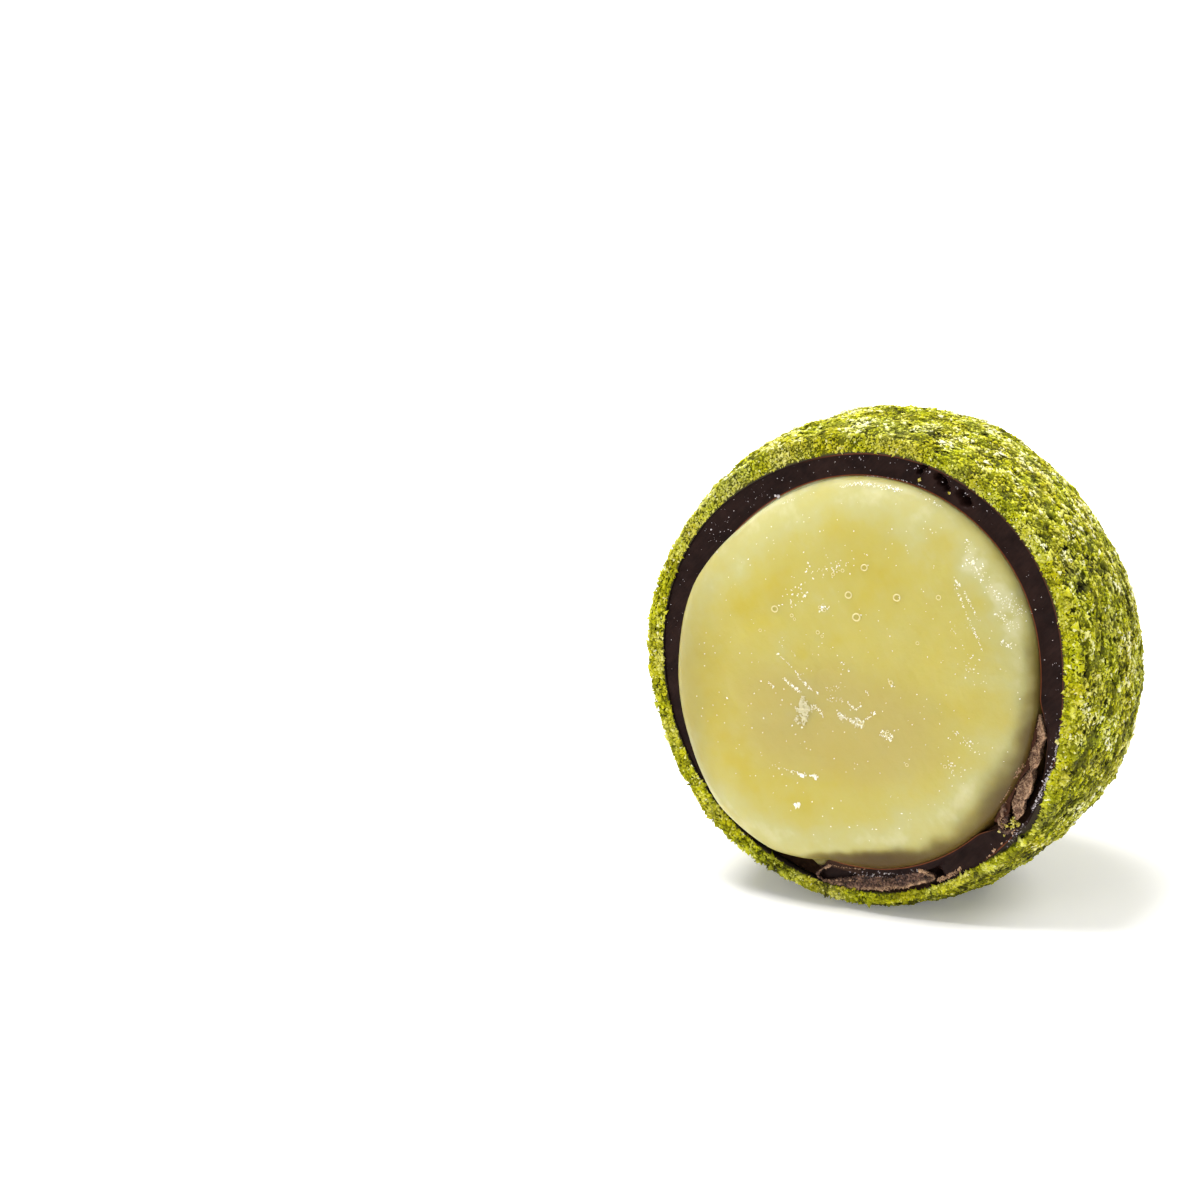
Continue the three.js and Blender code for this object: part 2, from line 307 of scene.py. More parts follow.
class Finish:
    """A material whose nodes are added by short calls, with one Principled shader at the end."""

    def __init__(self, name, **constants):
        self.material = bpy.data.materials.new(name)
        self.material.use_nodes = True
        self.tree = self.material.node_tree
        self.tree.nodes.clear()
        self.surface = self.tree.nodes.new("ShaderNodeBsdfPrincipled")
        self.use(**constants)
        output = self.tree.nodes.new("ShaderNodeOutputMaterial")
        self.tree.links.new(self.surface.outputs["BSDF"], output.inputs["Surface"])
        self.place = self.add("ShaderNodeTexCoord", "Object", {})

    def feed(self, socket, value):
        if isinstance(value, bpy.types.NodeSocket):
            self.tree.links.new(value, socket)
        else:
            socket.default_value = value

    def add(self, kind, output, inputs, **settings):
        """Adds a node, feeds its inputs and gives one of its outputs."""
        node = self.tree.nodes.new(kind)
        for key, value in settings.items():
            setattr(node, key, value)
        for key, value in inputs.items():
            self.feed(node.inputs[key], value)
        return node.outputs[output]

    def attribute(self, name):
        return self.add("ShaderNodeAttribute", "Fac", {}, attribute_name=name)

    def noise(self, size, detail=2.0, drawn=None):
        """Noise from 0 to 1 whose grain is about that many millimetres. drawn holds a lean from the
        upright, in radians, and how many times longer the grain is along that line."""
        place = self.place
        if drawn:
            drawing = {"Vector": place, "Rotation": (0, drawn[0], 0), "Scale": (1, 1, drawn[1])}
            place = self.add("ShaderNodeMapping", "Vector", drawing, vector_type="TEXTURE")
        inputs = {"Vector": place, "Scale": 1 / (size * MM), "Detail": detail}
        return self.add("ShaderNodeTexNoise", "Fac", inputs)

    def swing(self, amount, size, detail=2.0, drawn=None):
        """Noise whose values swing by half the amount to either side of 0."""
        return self.math("MULTIPLY_ADD", self.noise(size, detail, drawn), amount, -amount / 2)

    def cells(self, size):
        inputs = {"Vector": self.place, "Scale": 1 / (size * MM)}
        return self.add("ShaderNodeTexVoronoi", "Distance", inputs)

    def math(self, operation, a, b=0.0, c=0.0):
        return self.add("ShaderNodeMath", 0, {0: a, 1: b, 2: c}, operation=operation)

    def total(self, first, *others):
        for other in others:
            first = self.math("ADD", first, other)
        return first

    def span(self, value, low, high, to_low=0.0, to_high=1.0):
        """The value carried from one span to another, held within it."""
        numbers = dict(enumerate((value, low, high, to_low, to_high)))
        return self.add("ShaderNodeMapRange", "Result", numbers)

    def mix(self, share, a, b):
        return self.add("ShaderNodeMix", 2, {"Factor": share, 6: a, 7: b}, data_type="RGBA")

    def ramp(self, value, stops):
        """Screen colours at places from 0 to 1, blended by the value."""
        blended = self.add("ShaderNodeValToRGB", "Color", {"Fac": value})
        elements = blended.node.color_ramp.elements
        while len(elements) < len(stops):
            elements.new(0.5)
        for element, (position, shade) in zip(elements, stops):
            element.position = position
            element.color = colour(*shade)
        return blended

    def bump(self, height, depth):
        """A bump that is depth millimetres deep where height goes from 0 to 1."""
        return self.add("ShaderNodeBump", "Normal", {"Distance": depth * MM, "Height": height})

    def use(self, **values):
        for socket, value in values.items():
            self.feed(self.surface.inputs[socket.replace("_", " ")], value)
        return self.material


# ---- Materials ----

STAIN = (52, 42, 37)


def crumb_material(name, shades, roughness):
    """Ground nut. The tint attribute, with a fine mottling on it, picks the shade from dark to pale."""
    finish = Finish(name, Roughness=roughness, Specular_IOR_Level=0.16)
    tint = finish.total(finish.attribute("tint"), finish.swing(0.4, 0.14))
    shade = finish.add("ShaderNodeHueSaturation", "Color", {
        "Hue": finish.span(finish.noise(1.9, 3.0), 0.35, 0.65, 0.488, 0.504),
        "Saturation": finish.span(finish.noise(2.6), 0.3, 0.6, 0.93, 1.08),
        "Color": finish.ramp(tint, shades),
    })
    shade = finish.mix(finish.attribute("stained"), shade, colour(*STAIN))
    return finish.use(Base_Color=shade, Normal=finish.bump(finish.noise(0.09, 3.0), 0.03))


def chocolate_material():
    """Dark chocolate: satin where it was cut, crumbly where it broke, stained along the cream."""
    finish = Finish("dark_chocolate", Specular_IOR_Level=0.06)
    clouds = finish.math("MULTIPLY", finish.noise(1.4, 5.0), 0.7)
    tone = finish.math("MULTIPLY_ADD", finish.noise(0.16, 4.0, (0.7, 5)), 0.3, clouds)
    body = finish.mix(finish.span(tone, 0.36, 0.64), colour(25, 13, 11), colour(43, 27, 23))
    broken = finish.attribute("broken")
    crumbly = finish.mix(finish.noise(0.25, 4.0), colour(46, 29, 23), colour(104, 76, 58))
    shade = finish.mix(broken, body, crumbly)
    shade = finish.mix(finish.attribute("seam"), shade, colour(150, 86, 52))
    lumps = finish.math("MULTIPLY", broken, finish.noise(0.2, 4.0))
    height = finish.total(finish.noise(0.1, 3.0, (0.7, 10)), lumps)
    satin = finish.span(finish.noise(0.6, 4.0), 0.3, 0.7, 0.34, 0.5)
    rough = finish.math("MULTIPLY_ADD", broken, 0.4, satin)
    return finish.use(Base_Color=shade, Roughness=rough, Normal=finish.bump(height, 0.015))


def broken_material(name, hollow, body, tip):
    """Chocolate where it snapped: matt, granular and paler than its cut face, palest at its edges,
    partly a painted highlight.
    """
    finish = Finish(name, Roughness=0.75, Specular_IOR_Level=0.35)
    clouds = finish.math("MULTIPLY", finish.noise(0.5, 3.0), 0.35)
    grain = finish.math("MULTIPLY_ADD", finish.noise(0.12, 4.0), 0.65, clouds)
    # The fine noise is the bump's own, so hollows are darker and tips paler, partly painted shade and
    # highlight.
    shade = finish.ramp(grain, ((0.4, hollow), (0.5, body), (0.6, tip)))
    shade = finish.mix(finish.attribute("edge"), shade, colour(204, 164, 128))
    height = finish.total(finish.noise(0.12, 4.0), finish.cells(0.16))
    return finish.use(Base_Color=shade, Normal=finish.bump(height, 0.06))


CREAM_SHADES = (
    (0.0, (202, 198, 150)), (0.2, (188, 183, 122)), (0.55, (187, 176, 95)), (1.0, (186, 170, 70)),
)


def cream_material():
    """Cream: translucent, moist, yellower or milkier by place. Its edge darkens where the shell is seen
    through it, and as painted shade on its shoulders.
    """
    finish = Finish(
        "cream_filling",
        Subsurface_Weight=0.6,
        Subsurface_Scale=1.0,
        Subsurface_Radius=(1.5 * MM, 1.1 * MM, 0.5 * MM),
        Specular_IOR_Level=0.2,
        Coat_Weight=0.05,
        Coat_Roughness=0.2,
    )
    warm = finish.total(
        finish.attribute("warm"),
        finish.swing(0.6, 2.4, 5.0),
        finish.swing(0.5, 1.3, 4.0),
        finish.swing(0.14, 0.3, 4.0, (-0.7, 7)),
    )
    rosy = finish.math("MULTIPLY", finish.attribute("rosy"), 0.7)
    shade = finish.mix(rosy, finish.ramp(warm, CREAM_SHADES), colour(175, 158, 92))
    # The edge darkens where the chocolate shows through, and as painted shade on the shoulders.
    shade = finish.mix(finish.attribute("thin"), shade, colour(66, 42, 8))
    rough = finish.math("MULTIPLY_ADD", finish.noise(0.5, 4.0), 0.2, 0.28)
    moist = finish.bump(finish.noise(0.35, 4.0), 0.025)
    return finish.use(Base_Color=shade, Roughness=rough, Normal=moist)


def speck_material(name, dull, bright):
    """Tiny specks on the cut, between a dull and a bright colour. White ones on the cream are painted
    glints; on the shell they are dust, with some painted glints.
    """
    finish = Finish(name, Roughness=0.3, Specular_IOR_Level=0.5)
    return finish.use(Base_Color=finish.mix(finish.attribute("tint"), colour(*dull), colour(*bright)))


# Kinds of grains from dark to pale: (name, lowest tint, roughness, shades at places of the tint).
GRAIN_KINDS = (
    ("dark", -9, 0.75, ((0.15, (34, 31, 3)), (0.5, (64, 64, 10)), (0.85, (108, 112, 32)))),
    ("olive", 0.19, 0.6, ((0.15, (56, 56, 2)), (0.5, (88, 90, 8)), (0.85, (134, 137, 40)))),
    ("green", 0.37, 0.5, ((0.15, (114, 115, 4)), (0.5, (150, 152, 16)), (0.85, (186, 188, 66)))),
    ("bright", 0.54, 0.45, ((0.15, (168, 167, 14)), (0.5, (194, 193, 42)), (0.85, (217, 216, 112)))),
    # The palest shades, near white, stand partly for a painted highlight on the waxy crumbs.
    ("pale", 0.75, 0.42, ((0.2, (208, 206, 74)), (0.5, (224, 223, 124)), (0.85, (244, 243, 204)))),
)
SKIN_SHADES = ((0.1, (32, 31, 2)), (0.45, (94, 97, 10)), (0.9, (164, 168, 40)))
STRAY_SHADES = ((0.15, (170, 158, 60)), (0.5, (206, 196, 84)), (0.85, (238, 228, 158)))


# ---- The coating: a rough skin of packed crumbs with loose-lying grains all over it ----

SKIN_COLUMNS = 440
SKIN_RINGS = 126
SKIN_BAND_RINGS = 6
SKIN_INSIDE_RINGS = 8
SKIN_SINK = 0.1
SKIN_TINT = 0.45
RIM_HEIGHT = CUT_HEIGHT + COATING_PROUD
# The lumps are squeezed along the axis.
LUMP_SQUEEZE = (1, 1, 1.5)
BARE_DEPTH = 0.15
# Where the crumbs have come off the inner part of the rim: (azimuth, share of the rim's width).
BARE_RIM = ((-52, 0), (-48, 0.35), (-42, 0.65), (-36, 0.7), (-33, 0.55), (-29, 0.25), (-26, 0))


def crumb_relief(towards):
    """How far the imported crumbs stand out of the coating's smooth surface."""
    at = towards * BALL_RADIUS * LUMP_SQUEEZE
    pits = 0.9 * np.clip(noise(at, 0.6, 4) - 0.3, 0, 0.45)
    return layered(at, (0.12, 2.4, 1), (0.15, 0.95, 2), (0.09, 0.5, 3)) - pits - SKIN_SINK


def onto_table(points):
    """Points that would lie below the table are pressed up onto it."""
    below = np.minimum(points @ UP + SEAT_DROP, 0)
    return points - below[..., None] * UP


def outer_rim(azimuth):
    return RIM_HEIGHT - round_cut(COATING_WEAR, azimuth, 3)


def make_skin(material):
    azimuth = ring_azimuths(SKIN_COLUMNS)
    rim_polar = polar_at(ball_surface, azimuth, outer_rim(azimuth))
    share = np.linspace(1, 0, SKIN_RINGS + 1)[:, None]
    towards = directions(rim_polar + (180 - rim_polar) * share, azimuth[None, :])
    relief = crumb_relief(towards)
    outside = onto_table(towards * (ball_surface(towards) + relief)[..., None])
    inner_edge = cylinder(azimuth, away_at(shell_surface, azimuth, RIM_HEIGHT) + LAYER_GAP, RIM_HEIGHT)
    across = np.linspace(0, 1, SKIN_BAND_RINGS)[1:, None, None]
    band = outside[-1] + (inner_edge - outside[-1]) * across
    across = across[..., 0]
    bare = round_cut(BARE_RIM, azimuth, 2) > 1 - across
    ragged = 0.08 * noise(band, 0.6, 5) - 0.06
    band[..., 2] += ragged * np.sin(across * math.pi) - BARE_DEPTH * bare
    ledge = shell_cut(azimuth)["ledge"]
    inside = rings_to_back(shell_surface, azimuth, ledge, SKIN_INSIDE_RINGS, LAYER_GAP)
    rows = np.concatenate((outside, band, inside))
    tint = np.full(rows.shape[:2], SKIN_TINT)
    # The skin is darker in its hollows and paler on its lumps, partly a painted shade in the pits.
    tint[: len(relief)] += 1.6 * (relief + SKIN_SINK)
    stained = np.zeros(rows.shape[:2])
    stained[len(outside) : -len(inside)] = 0.93 * bare
    stained[-len(inside) - 1 :] = 1
    skin = make_turned("crumb_skin", rows, material, "crumb_coating", tint=tint, stained=stained)
    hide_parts("coating")


# Shapes of grains: their corners and their faces.
BIPYRAMID = (
    np.array(((1, 0, 0), (-0.5, 0.87, 0), (-0.5, -0.87, 0), (0, 0, 1), (0, 0, -1)), float),
    np.array(((0, 1, 3), (1, 2, 3), (2, 0, 3), (1, 0, 4), (2, 1, 4), (0, 2, 4))),
)
OCTAHEDRON = (
    np.array(((1, 0, 0), (-1, 0, 0), (0, 1, 0), (0, -1, 0), (0, 0, 1), (0, 0, -1)), float),
    np.array(((0, 2, 4), (2, 1, 4), (1, 3, 4), (3, 0, 4), (2, 0, 5), (1, 2, 5), (3, 1, 5), (0, 3, 5))),
)
GRAIN_JITTER = 0.3
SHORTEST_STRETCH = 0.55


def grain_meshes(
    centres, normals, sizes, random, flat=0.6, tilt=0.25, longest=1.6, combed=0, solid=OCTAHEDRON
):
    """One jagged grain at each centre, with its flatter side towards the normal. The more they are
    combed, the more of them are turned along the circles round the axis."""
    count = len(centres)
    up = unit(normals + tilt * random.normal(size=(count, 3)))
    along = unit(np.cross(up, random.normal(size=(count, 3)) + np.multiply.outer(combed, AXIS)))
    axes = np.stack((along, np.cross(up, along), up), 1)
    corners, faces = solid
    shape = corners + GRAIN_JITTER * random.uniform(-1, 1, (count, len(corners), 3))
    stretch = random.uniform(SHORTEST_STRETCH, np.reshape(longest, (-1, 1, 1)), (count, 1, 3))
    stretch[..., 2] = np.reshape(flat, (-1, 1)) * random.uniform(0.6, 1.3, (count, 1))
    points = (shape * stretch * sizes[:, None, None] / 2) @ axes + centres[:, None, :]
    starts = np.arange(count)[:, None, None] * len(corners)
    return points.reshape(-1, 3), (faces + starts).reshape(-1, 3), len(corners)


GRAINS = 80000
# The grains lie from the back up to this height, as a share of the ball's radius.
GRAINS_UP_TO = 0.36
GRAIN_SCATTER = 0.45
BEHIND_RIM = 0.2
GRAIN_SINK = 0.01
SMALLEST_GRAIN = 0.16
GRAIN_SPAN = 0.36
GRAIN_TINT = 0.545
# Noises that make whole patches of grains paler or darker: (strength, size, seed).
MOODS = ((0.27, 0.6, 6), (0.26, 1.2, 7), (0.18, 2.8, 8))
# The grains near the table are darker, a painted contact shadow: (strength, up to this height over it,
# softness).
FOOT_PAINTED_SHADOW = (0.12, 2.2, 0.5)
# The grains are combed more towards the right, up to this far from the middle.
COMBED_UP_TO = 11.0
RIM_GRAINS = 8000
RIM_INSET = 0.15
RIM_SINK = 0.03
RIM_PALEST = 0.72
GLINT_SHARE = 0.06
# The rim's grains are coarse, but finer above this place up the cut, over this span.
RIM_COARSENESS = 1.5
FINER_BY = 0.55
FINER_ABOVE = 1.0
FINER_SPAN = 8.0


def spread_over_ball(random):
    """Evenly spread directions behind the cut, each moved a little at random."""
    height = -1.0 + (GRAINS_UP_TO + 1.0) * (np.arange(GRAINS) + 0.5) / GRAINS
    turn = np.arange(GRAINS) * math.degrees(math.pi * (3 - math.sqrt(5)))
    towards = directions(np.degrees(np.arccos(height)), turn)
    spacing = math.sqrt(2 * math.pi * (GRAINS_UP_TO + 1.0) / GRAINS)
    towards = unit(towards + random.normal(size=towards.shape) * spacing * GRAIN_SCATTER)
    azimuth = azimuth_of(towards[:, 0], towards[:, 1])
    rim_polar = polar_at(ball_surface, azimuth, outer_rim(azimuth))
    return towards[np.degrees(np.arccos(towards[:, 2])) > rim_polar + BEHIND_RIM]


def rim_grains(random):
    """Centres and normals of the grains on the coating's cut edge."""
    azimuth = random.uniform(-180, 180, RIM_GRAINS)
    across = random.uniform(0, 1, RIM_GRAINS)
    kept = across > round_cut(BARE_RIM, azimuth, 2)
    azimuth = azimuth[kept]
    across = across[kept]
    inner = away_at(shell_surface, azimuth, RIM_HEIGHT) + RIM_INSET
    outer = away_at(ball_surface, azimuth, outer_rim(azimuth))
    height = RIM_HEIGHT + (outer_rim(azimuth) - RIM_HEIGHT) * across - RIM_SINK
    centres = cylinder(azimuth, inner + (outer - inner) * across, height)
    return centres, unit(AXIS + 0.4 * unit(centres))


def make_grains():
    random = np.random.default_rng(5)
    towards = spread_over_ball(random)
    relief = crumb_relief(towards)
    on_ball = towards * (ball_surface(towards) + relief - GRAIN_SINK)[:, None]
    on_rim, rim_normals = rim_grains(random)
    centres = np.concatenate((on_ball, on_rim))
    normals = np.concatenate((towards, rim_normals))
    relief = np.concatenate((relief, np.full(len(on_rim), -SKIN_SINK)))
    count = len(centres)
    rim = np.arange(count) >= len(on_ball)
    sizes = SMALLEST_GRAIN + GRAIN_SPAN * random.beta(1.0, 4.5, count)
    finer = np.clip((on_rim[:, 1] - FINER_ABOVE) / FINER_SPAN, 0, 1)
    sizes[rim] *= RIM_COARSENESS - FINER_BY * finer
    mood = layered(centres, *MOODS)
    # Grains lower in the relief are darker and higher ones paler, partly a painted shade in the pits.
    tint = GRAIN_TINT + mood + 0.9 * (relief + SKIN_SINK) + 0.1 * random.normal(size=count)
    over_table = centres @ UP + SEAT_DROP
    strength, up_to, soft = FOOT_PAINTED_SHADOW
    painted_foot_shadow = strength * step_up(up_to - over_table, soft)
    # Grains are paler towards the top and darker towards the bottom, and darker still near the table, a
    # painted contact shadow.
    tint += 0.09 * np.clip(over_table / SEAT_DROP - 1, -1, 1) - painted_foot_shadow
    # The rim's shades are evener than the ball's, but for a few glints.
    glints = random.uniform(size=len(on_rim)) < GLINT_SHARE
    tint[rim] = np.minimum(0.25 + 0.6 * tint[rim], RIM_PALEST) + 0.3 * glints
    combed = 0.3 + np.clip(centres[:, 0] / COMBED_UP_TO, 0, 1)
    longest = np.where(rim, 1.3, 2.0)
    flat = np.where(rim, 0.4, 0.55)
    above = [low for _, low, *_ in GRAIN_KINDS[1:]] + [np.inf]
    for (kind, low, roughness, shades), high in zip(GRAIN_KINDS, above):
        chosen = (tint >= low) & (tint < high)
        shade = np.clip(random.uniform(0.25, 0.75, chosen.sum()) + 0.5 * mood[chosen], 0, 1)
        points, faces, each = grain_meshes(
            centres[chosen], normals[chosen], sizes[chosen], random, flat=flat[chosen], tilt=0.2,
            longest=longest[chosen], combed=combed[chosen], solid=BIPYRAMID,
        )
        material = crumb_material(kind + "_crumb", shades, roughness)
        tints = np.repeat(shade, each)
        make_piece(kind + "_crumbs", onto_table(points), [faces], material, "crumb_coating", tint=tints)


# ---- The shell: dark chocolate, cut smooth, with its breaks ----

SHELL_COLUMNS = 600
SHELL_BACK_RINGS = 10
SLOT_BEVEL = 0.2
LEDGE_RISER = 0.04
SEAM_WIDTH = 0.08
SHELL_CREASE = 42
CUT_GRAIN = 0.02
BREAK_GRAIN = 0.07
BREAK_SINK = 0.05
# How softly breaks with crisp ends begin and end, in degrees.
CRISP = 0.8
# Where the face over the chip is browner: (azimuth, share).
BROWN_PLATE = ((-102, 0), (-100, 1), (-92, 1), (-86, 0))
# How plainly the stain shows along the shell's outer edge: (azimuth, share).
OUTER_SEAM = (
    (-52, 0), (-48, 0.7), (-40, 0.7), (-37, 0), (-25, 0), (-15, 1), (30, 1), (40, 0.5), (100, 1),
    (112, 0),
)
# Nicks in the cut face: (x, y, radius, depth).
RING_NICKS = (
    (2.98, 12.42, 0.17, 0.5), (3.3, 12.85, 0.2, 0.4), (4.15, 12.25, 0.2, 0.55),
    (4.48, 11.95, 0.24, 0.8), (4.8, 11.6, 0.17, 0.45), (5.7, 11.35, 0.26, 0.7), (6.05, 10.95, 0.3, 0.9),
    (5.45, -12.08, 0.28, 0.7),
)


def shell_cut(azimuth):
    """Heights of the shell's face, ledge and slot, and the places where they end."""
    face = CUT_HEIGHT - round_cut(MISSING_SHELL, azimuth, CRISP)
    ledge = face - round_cut(LEDGE_DEPTH, azimuth, CRISP)
    inside = away_at(filling_surface, azimuth, face)
    return {
        "face": face,
        "ledge": ledge,
        "outside": away_at(shell_surface, azimuth, ledge),
        "inside": inside,
        "slot_wall": inside + round_cut(SLOT_WIDTH, azimuth),
        "slot_floor": face - np.maximum(SHALLOWEST_SLOT, round_cut(SLOT_DEPTH, azimuth)),
    }


def make_shell(material):
    azimuth = ring_azimuths(SHELL_COLUMNS)
    cut = shell_cut(azimuth)
    wall = cut["slot_wall"]
    ledge_end = cut["outside"] - LEDGE_SHARE * (cut["outside"] - cut["inside"])
    ledge_end = np.maximum(ledge_end, wall + 3 * LEDGE_RISER)
    slot_corner = np.maximum(wall, away_at(filling_surface, azimuth, cut["slot_floor"]))
    outside = rings_to_back(shell_surface, azimuth, cut["ledge"], SHELL_BACK_RINGS)[::-1]
    inside = rings_to_back(filling_surface, azimuth, cut["slot_floor"] - SLOT_BEVEL, SHELL_BACK_RINGS)
    corners = (
        (outside[-1], 10),
        (cylinder(azimuth, ledge_end, cut["ledge"]), 2),
        (cylinder(azimuth, ledge_end - LEDGE_RISER, cut["face"]), 6),
        (cylinder(azimuth, wall + SEAM_WIDTH, cut["face"]), 1),
        (cylinder(azimuth, wall, cut["face"]), 6),
        (cylinder(azimuth, slot_corner, cut["slot_floor"]), 2),
        (inside[0], 0),
    )
    rows = np.concatenate([outside[:-1], *joined(corners), inside])
    starts = len(outside) - 1 + np.cumsum([0, *(steps for _, steps in corners[:-1])])
    ledge, _, face, _, slot, _, end = starts
    missing = round_cut(MISSING_SHELL, azimuth, CRISP) / 0.3
    broken_slot = np.clip(round_cut(SLOT_WIDTH, azimuth) / 0.4, 0, 1)
    broken = np.zeros(rows.shape[:2])
    broken[ledge:face] = np.clip(missing + round_cut(CRUMBLY_LEDGE, azimuth, CRISP), 0, 1)
    broken[face:slot] = 0.5 * round_cut(BROWN_PLATE, azimuth)
    broken[slot:end] = broken_slot
    seam = np.zeros(rows.shape[:2])
    seam[slot : slot + 2] = 1 - broken_slot
    seam[ledge] = 0.8 * round_cut(OUTER_SEAM, azimuth, 3)
    cut_face = rows[ledge + 1 : end]
    rough = broken[ledge + 1 : end]
    cut_face[..., 2] += (CUT_GRAIN + BREAK_GRAIN * rough) * noise(cut_face, 0.5, 21) - BREAK_SINK * rough
    for x, y, radius, depth in RING_NICKS:
        apart = np.hypot(cut_face[..., 0] - x, cut_face[..., 1] - y)
        ragged = 1 + 0.35 * noise(cut_face, 0.35, 22)
        cut_face[..., 2] -= depth * np.exp(-((apart / (radius * ragged)) ** 4))
    shell = make_turned("shell_dressed", rows, material, "dark_chocolate", broken=broken, seam=seam)
    shell.data.set_sharp_from_angle(angle=math.radians(SHELL_CREASE))
    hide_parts("shell")


# ---- The filling: a soft dome that the blade dragged over the shell ----

FILLING_COLUMNS = 420
DOME_RINGS = 84
FINE_STEPS = 4000
BACK_RINGS = 10
DOME_TYPICAL_WIDTH = 11.9
DOME_CROWN = FILLING_EDGE_RISE + FILLING_DOME
FULL_OVERHANG = 0.35
LOWEST_EDGE = 0.08
TUCK = 0.15
# Where the filling's edge darkens, as the chocolate shows through the thin edge and as painted
# shade on the shoulders that face down and away from the light: (azimuth, strength, width, softness).
THIN_EDGE_AND_SHADE = (
    (-180, 0.4, 2.0, 2.2), (-160, 0.42, 1.8, 1.8), (-145, 0.34, 1.0, 1.0), (-125, 0.1, 0.3, 0.3),
    (-112, 0.3, 0.3, 0.2), (-103, 0.6, 0.3, 0.15), (-98, 0.8, 0.5, 0.15), (-90, 0.93, 1.0, 0.2),
    (-82, 0.95, 1.35, 0.2), (-72, 0.93, 1.3, 0.25), (-64, 0.88, 0.95, 0.35), (-55, 0.9, 0.8, 0.5),
    (-45, 0.95, 0.9, 0.65), (-33, 0.98, 1.15, 0.65), (-17, 0.95, 0.65, 0.5), (8, 0.85, 0.4, 0.4),
    (22, 0.5, 0.05, 0.3), (45, 0.4, 0.15, 0.3), (75, 0.35, 0.2, 0.3), (100, 0.3, 0.3, 0.4),
    (130, 0.15, 0.4, 0.5), (150, 0.25, 0.8, 1.2),
)
# The cream is milkier outside this distance from the axis: (azimuth, away).
MILKY_FROM = (
    (-175, 11.6), (-160, 12.0), (-142, 12.3), (-122, 11.5), (-105, 10.4), (-97, 10.1), (-56, 9.4),
    (0, 10.2), (46, 9.9), (92, 9.8), (129, 9.0), (150, 9.2), (167, 11.3),
)
# Its very edge is painted whiter still where it is thin and nothing lies behind it, a painted sheen:
# (azimuth, width).
PAINTED_SHEEN_RIM = (
    (-178, 0), (-168, 0.25), (-135, 0.4), (-118, 0.25), (-112, 0), (98, 0), (108, 0.3), (140, 0.3),
    (150, 0),
)
# Spots where the cream is yellower: (x, y, radius).
YELLOW_SPOTS = (
    (-5.2, 5.0, 1.6), (-7.4, 3.2, 1.4), (-6.2, -7.4, 1.8), (-0.3, -5.9, 1.9), (-1.3, 9.0, 1.3),
    (5.2, 8.3, 1.1), (-8.9, -1.0, 1.2), (-8.6, -3.6, 1.6), (-8.2, -6.2, 1.6), (7.0, -1.4, 1.2),
    (-2.6, -8.4, 2.0), (0.9, 6.0, 2.0), (-3.3, 0.8, 0.4), (-1.0, 1.8, 0.5),
)
# Spots where it is painted paler, a painted wet sheen: (x, y, radius).
PAINTED_SHEEN_SPOTS = (
    (9.4, 5.3, 0.8), (8.5, 6.2, 0.6), (7.1, 7.5, 0.7), (10.0, 3.9, 0.6), (-3.0, -1.2, 0.8),
    (-0.2, -2.7, 0.6),
)
# A rosier sheet of cream that lies a little higher: (x, y, half length, half width, height).
ROSY_SHEET = (-0.8, -3.1, 6.6, 3.4, 0.06)
OVAL_POWER = 2.4
# A film of cream that the blade pulled out over the missing shell: (azimuth, reach).
LIP_FILM = ((-108, 0), (-104, 0.12), (-101.5, 0.5), (-99.8, 0.6), (-98.4, 0))
# A place where the cream stands a little higher: (x, y, radius, height).
PLATEAU = (-5.3, -0.6, 3.1, 0.1)
# The line along which the blade dragged the cream, and how much longer its marks are than wide.
DRAG_LINE = (0.64, 0.77)
DRAG_LENGTH = 5


def filling_edge(azimuth):
    """The neck, the widest line and that line's rise over the cut, round the filling."""
    neck = away_at(filling_surface, azimuth, CUT_HEIGHT) - LAYER_GAP
    overhang = round_cut(FILLING_OVERHANG, azimuth, 3)
    rise = FILLING_EDGE_RISE * np.clip(overhang / FULL_OVERHANG, LOWEST_EDGE, 1)
    return neck, neck + overhang, rise


def dome_angles():
    """Angles of the dome's rings from its edge to its crown, evenly spaced along its surface."""
    angle = np.linspace(0, math.pi / 2, FINE_STEPS)
    away = DOME_TYPICAL_WIDTH * np.cos(angle) ** FILLING_SHOULDER
    rise = DOME_CROWN * np.sin(angle) ** FILLING_SLOPE
    length = np.concatenate(((0,), np.cumsum(np.hypot(np.diff(away), np.diff(rise)))))
    return np.interp(np.linspace(0, length[-1], DOME_RINGS + 1), length, angle)


def filling_relief(x, y):
    """Low swells and drag marks of the filling's cut surface."""
    flat = on_cut(x, y)
    along, across = DRAG_LINE
    dragged = on_cut(along * x - across * y, DRAG_LENGTH * (across * x + along * y))
    swells = layered(flat, (0.09, 4.5, 31), (0.035, 1.8, 32), (0.01, 0.7, 33))
    at_x, at_y, radius, height = PLATEAU
    from_middle = np.hypot(x - at_x, y - at_y) + 0.3 * noise(flat, 2, 34)
    raised = height * step_up(radius - from_middle, 0.16)
    sheet = ROSY_SHEET[-1] * rosy_share(x, y, 0.05)
    return swells + raised + sheet + 0.008 * noise(dragged, 2.0, 35)


def rosy_share(x, y, soft):
    """How far a place of the cut lies within the rosier sheet, from 0 to 1."""
    at_x, at_y, long, wide, _ = ROSY_SHEET
    out = np.abs((x - at_x) / long) ** OVAL_POWER + np.abs((y - at_y) / wide) ** OVAL_POWER
    out = out ** (1 / OVAL_POWER) + 0.12 * noise(on_cut(x, y), 2.2, 36)
    return step_up(1 - out, soft)


def spotted(x, y, spots, ragged, size, seed):
    """How much of the ragged spots, (x, y, radius) each, lies at a place of the cut."""
    edge = ragged * noise(on_cut(x, y), size, seed)
    return sum(
        np.exp(-((np.hypot(x - at_x, y - at_y) / radius + edge) ** 2)) for at_x, at_y, radius in spots
    )


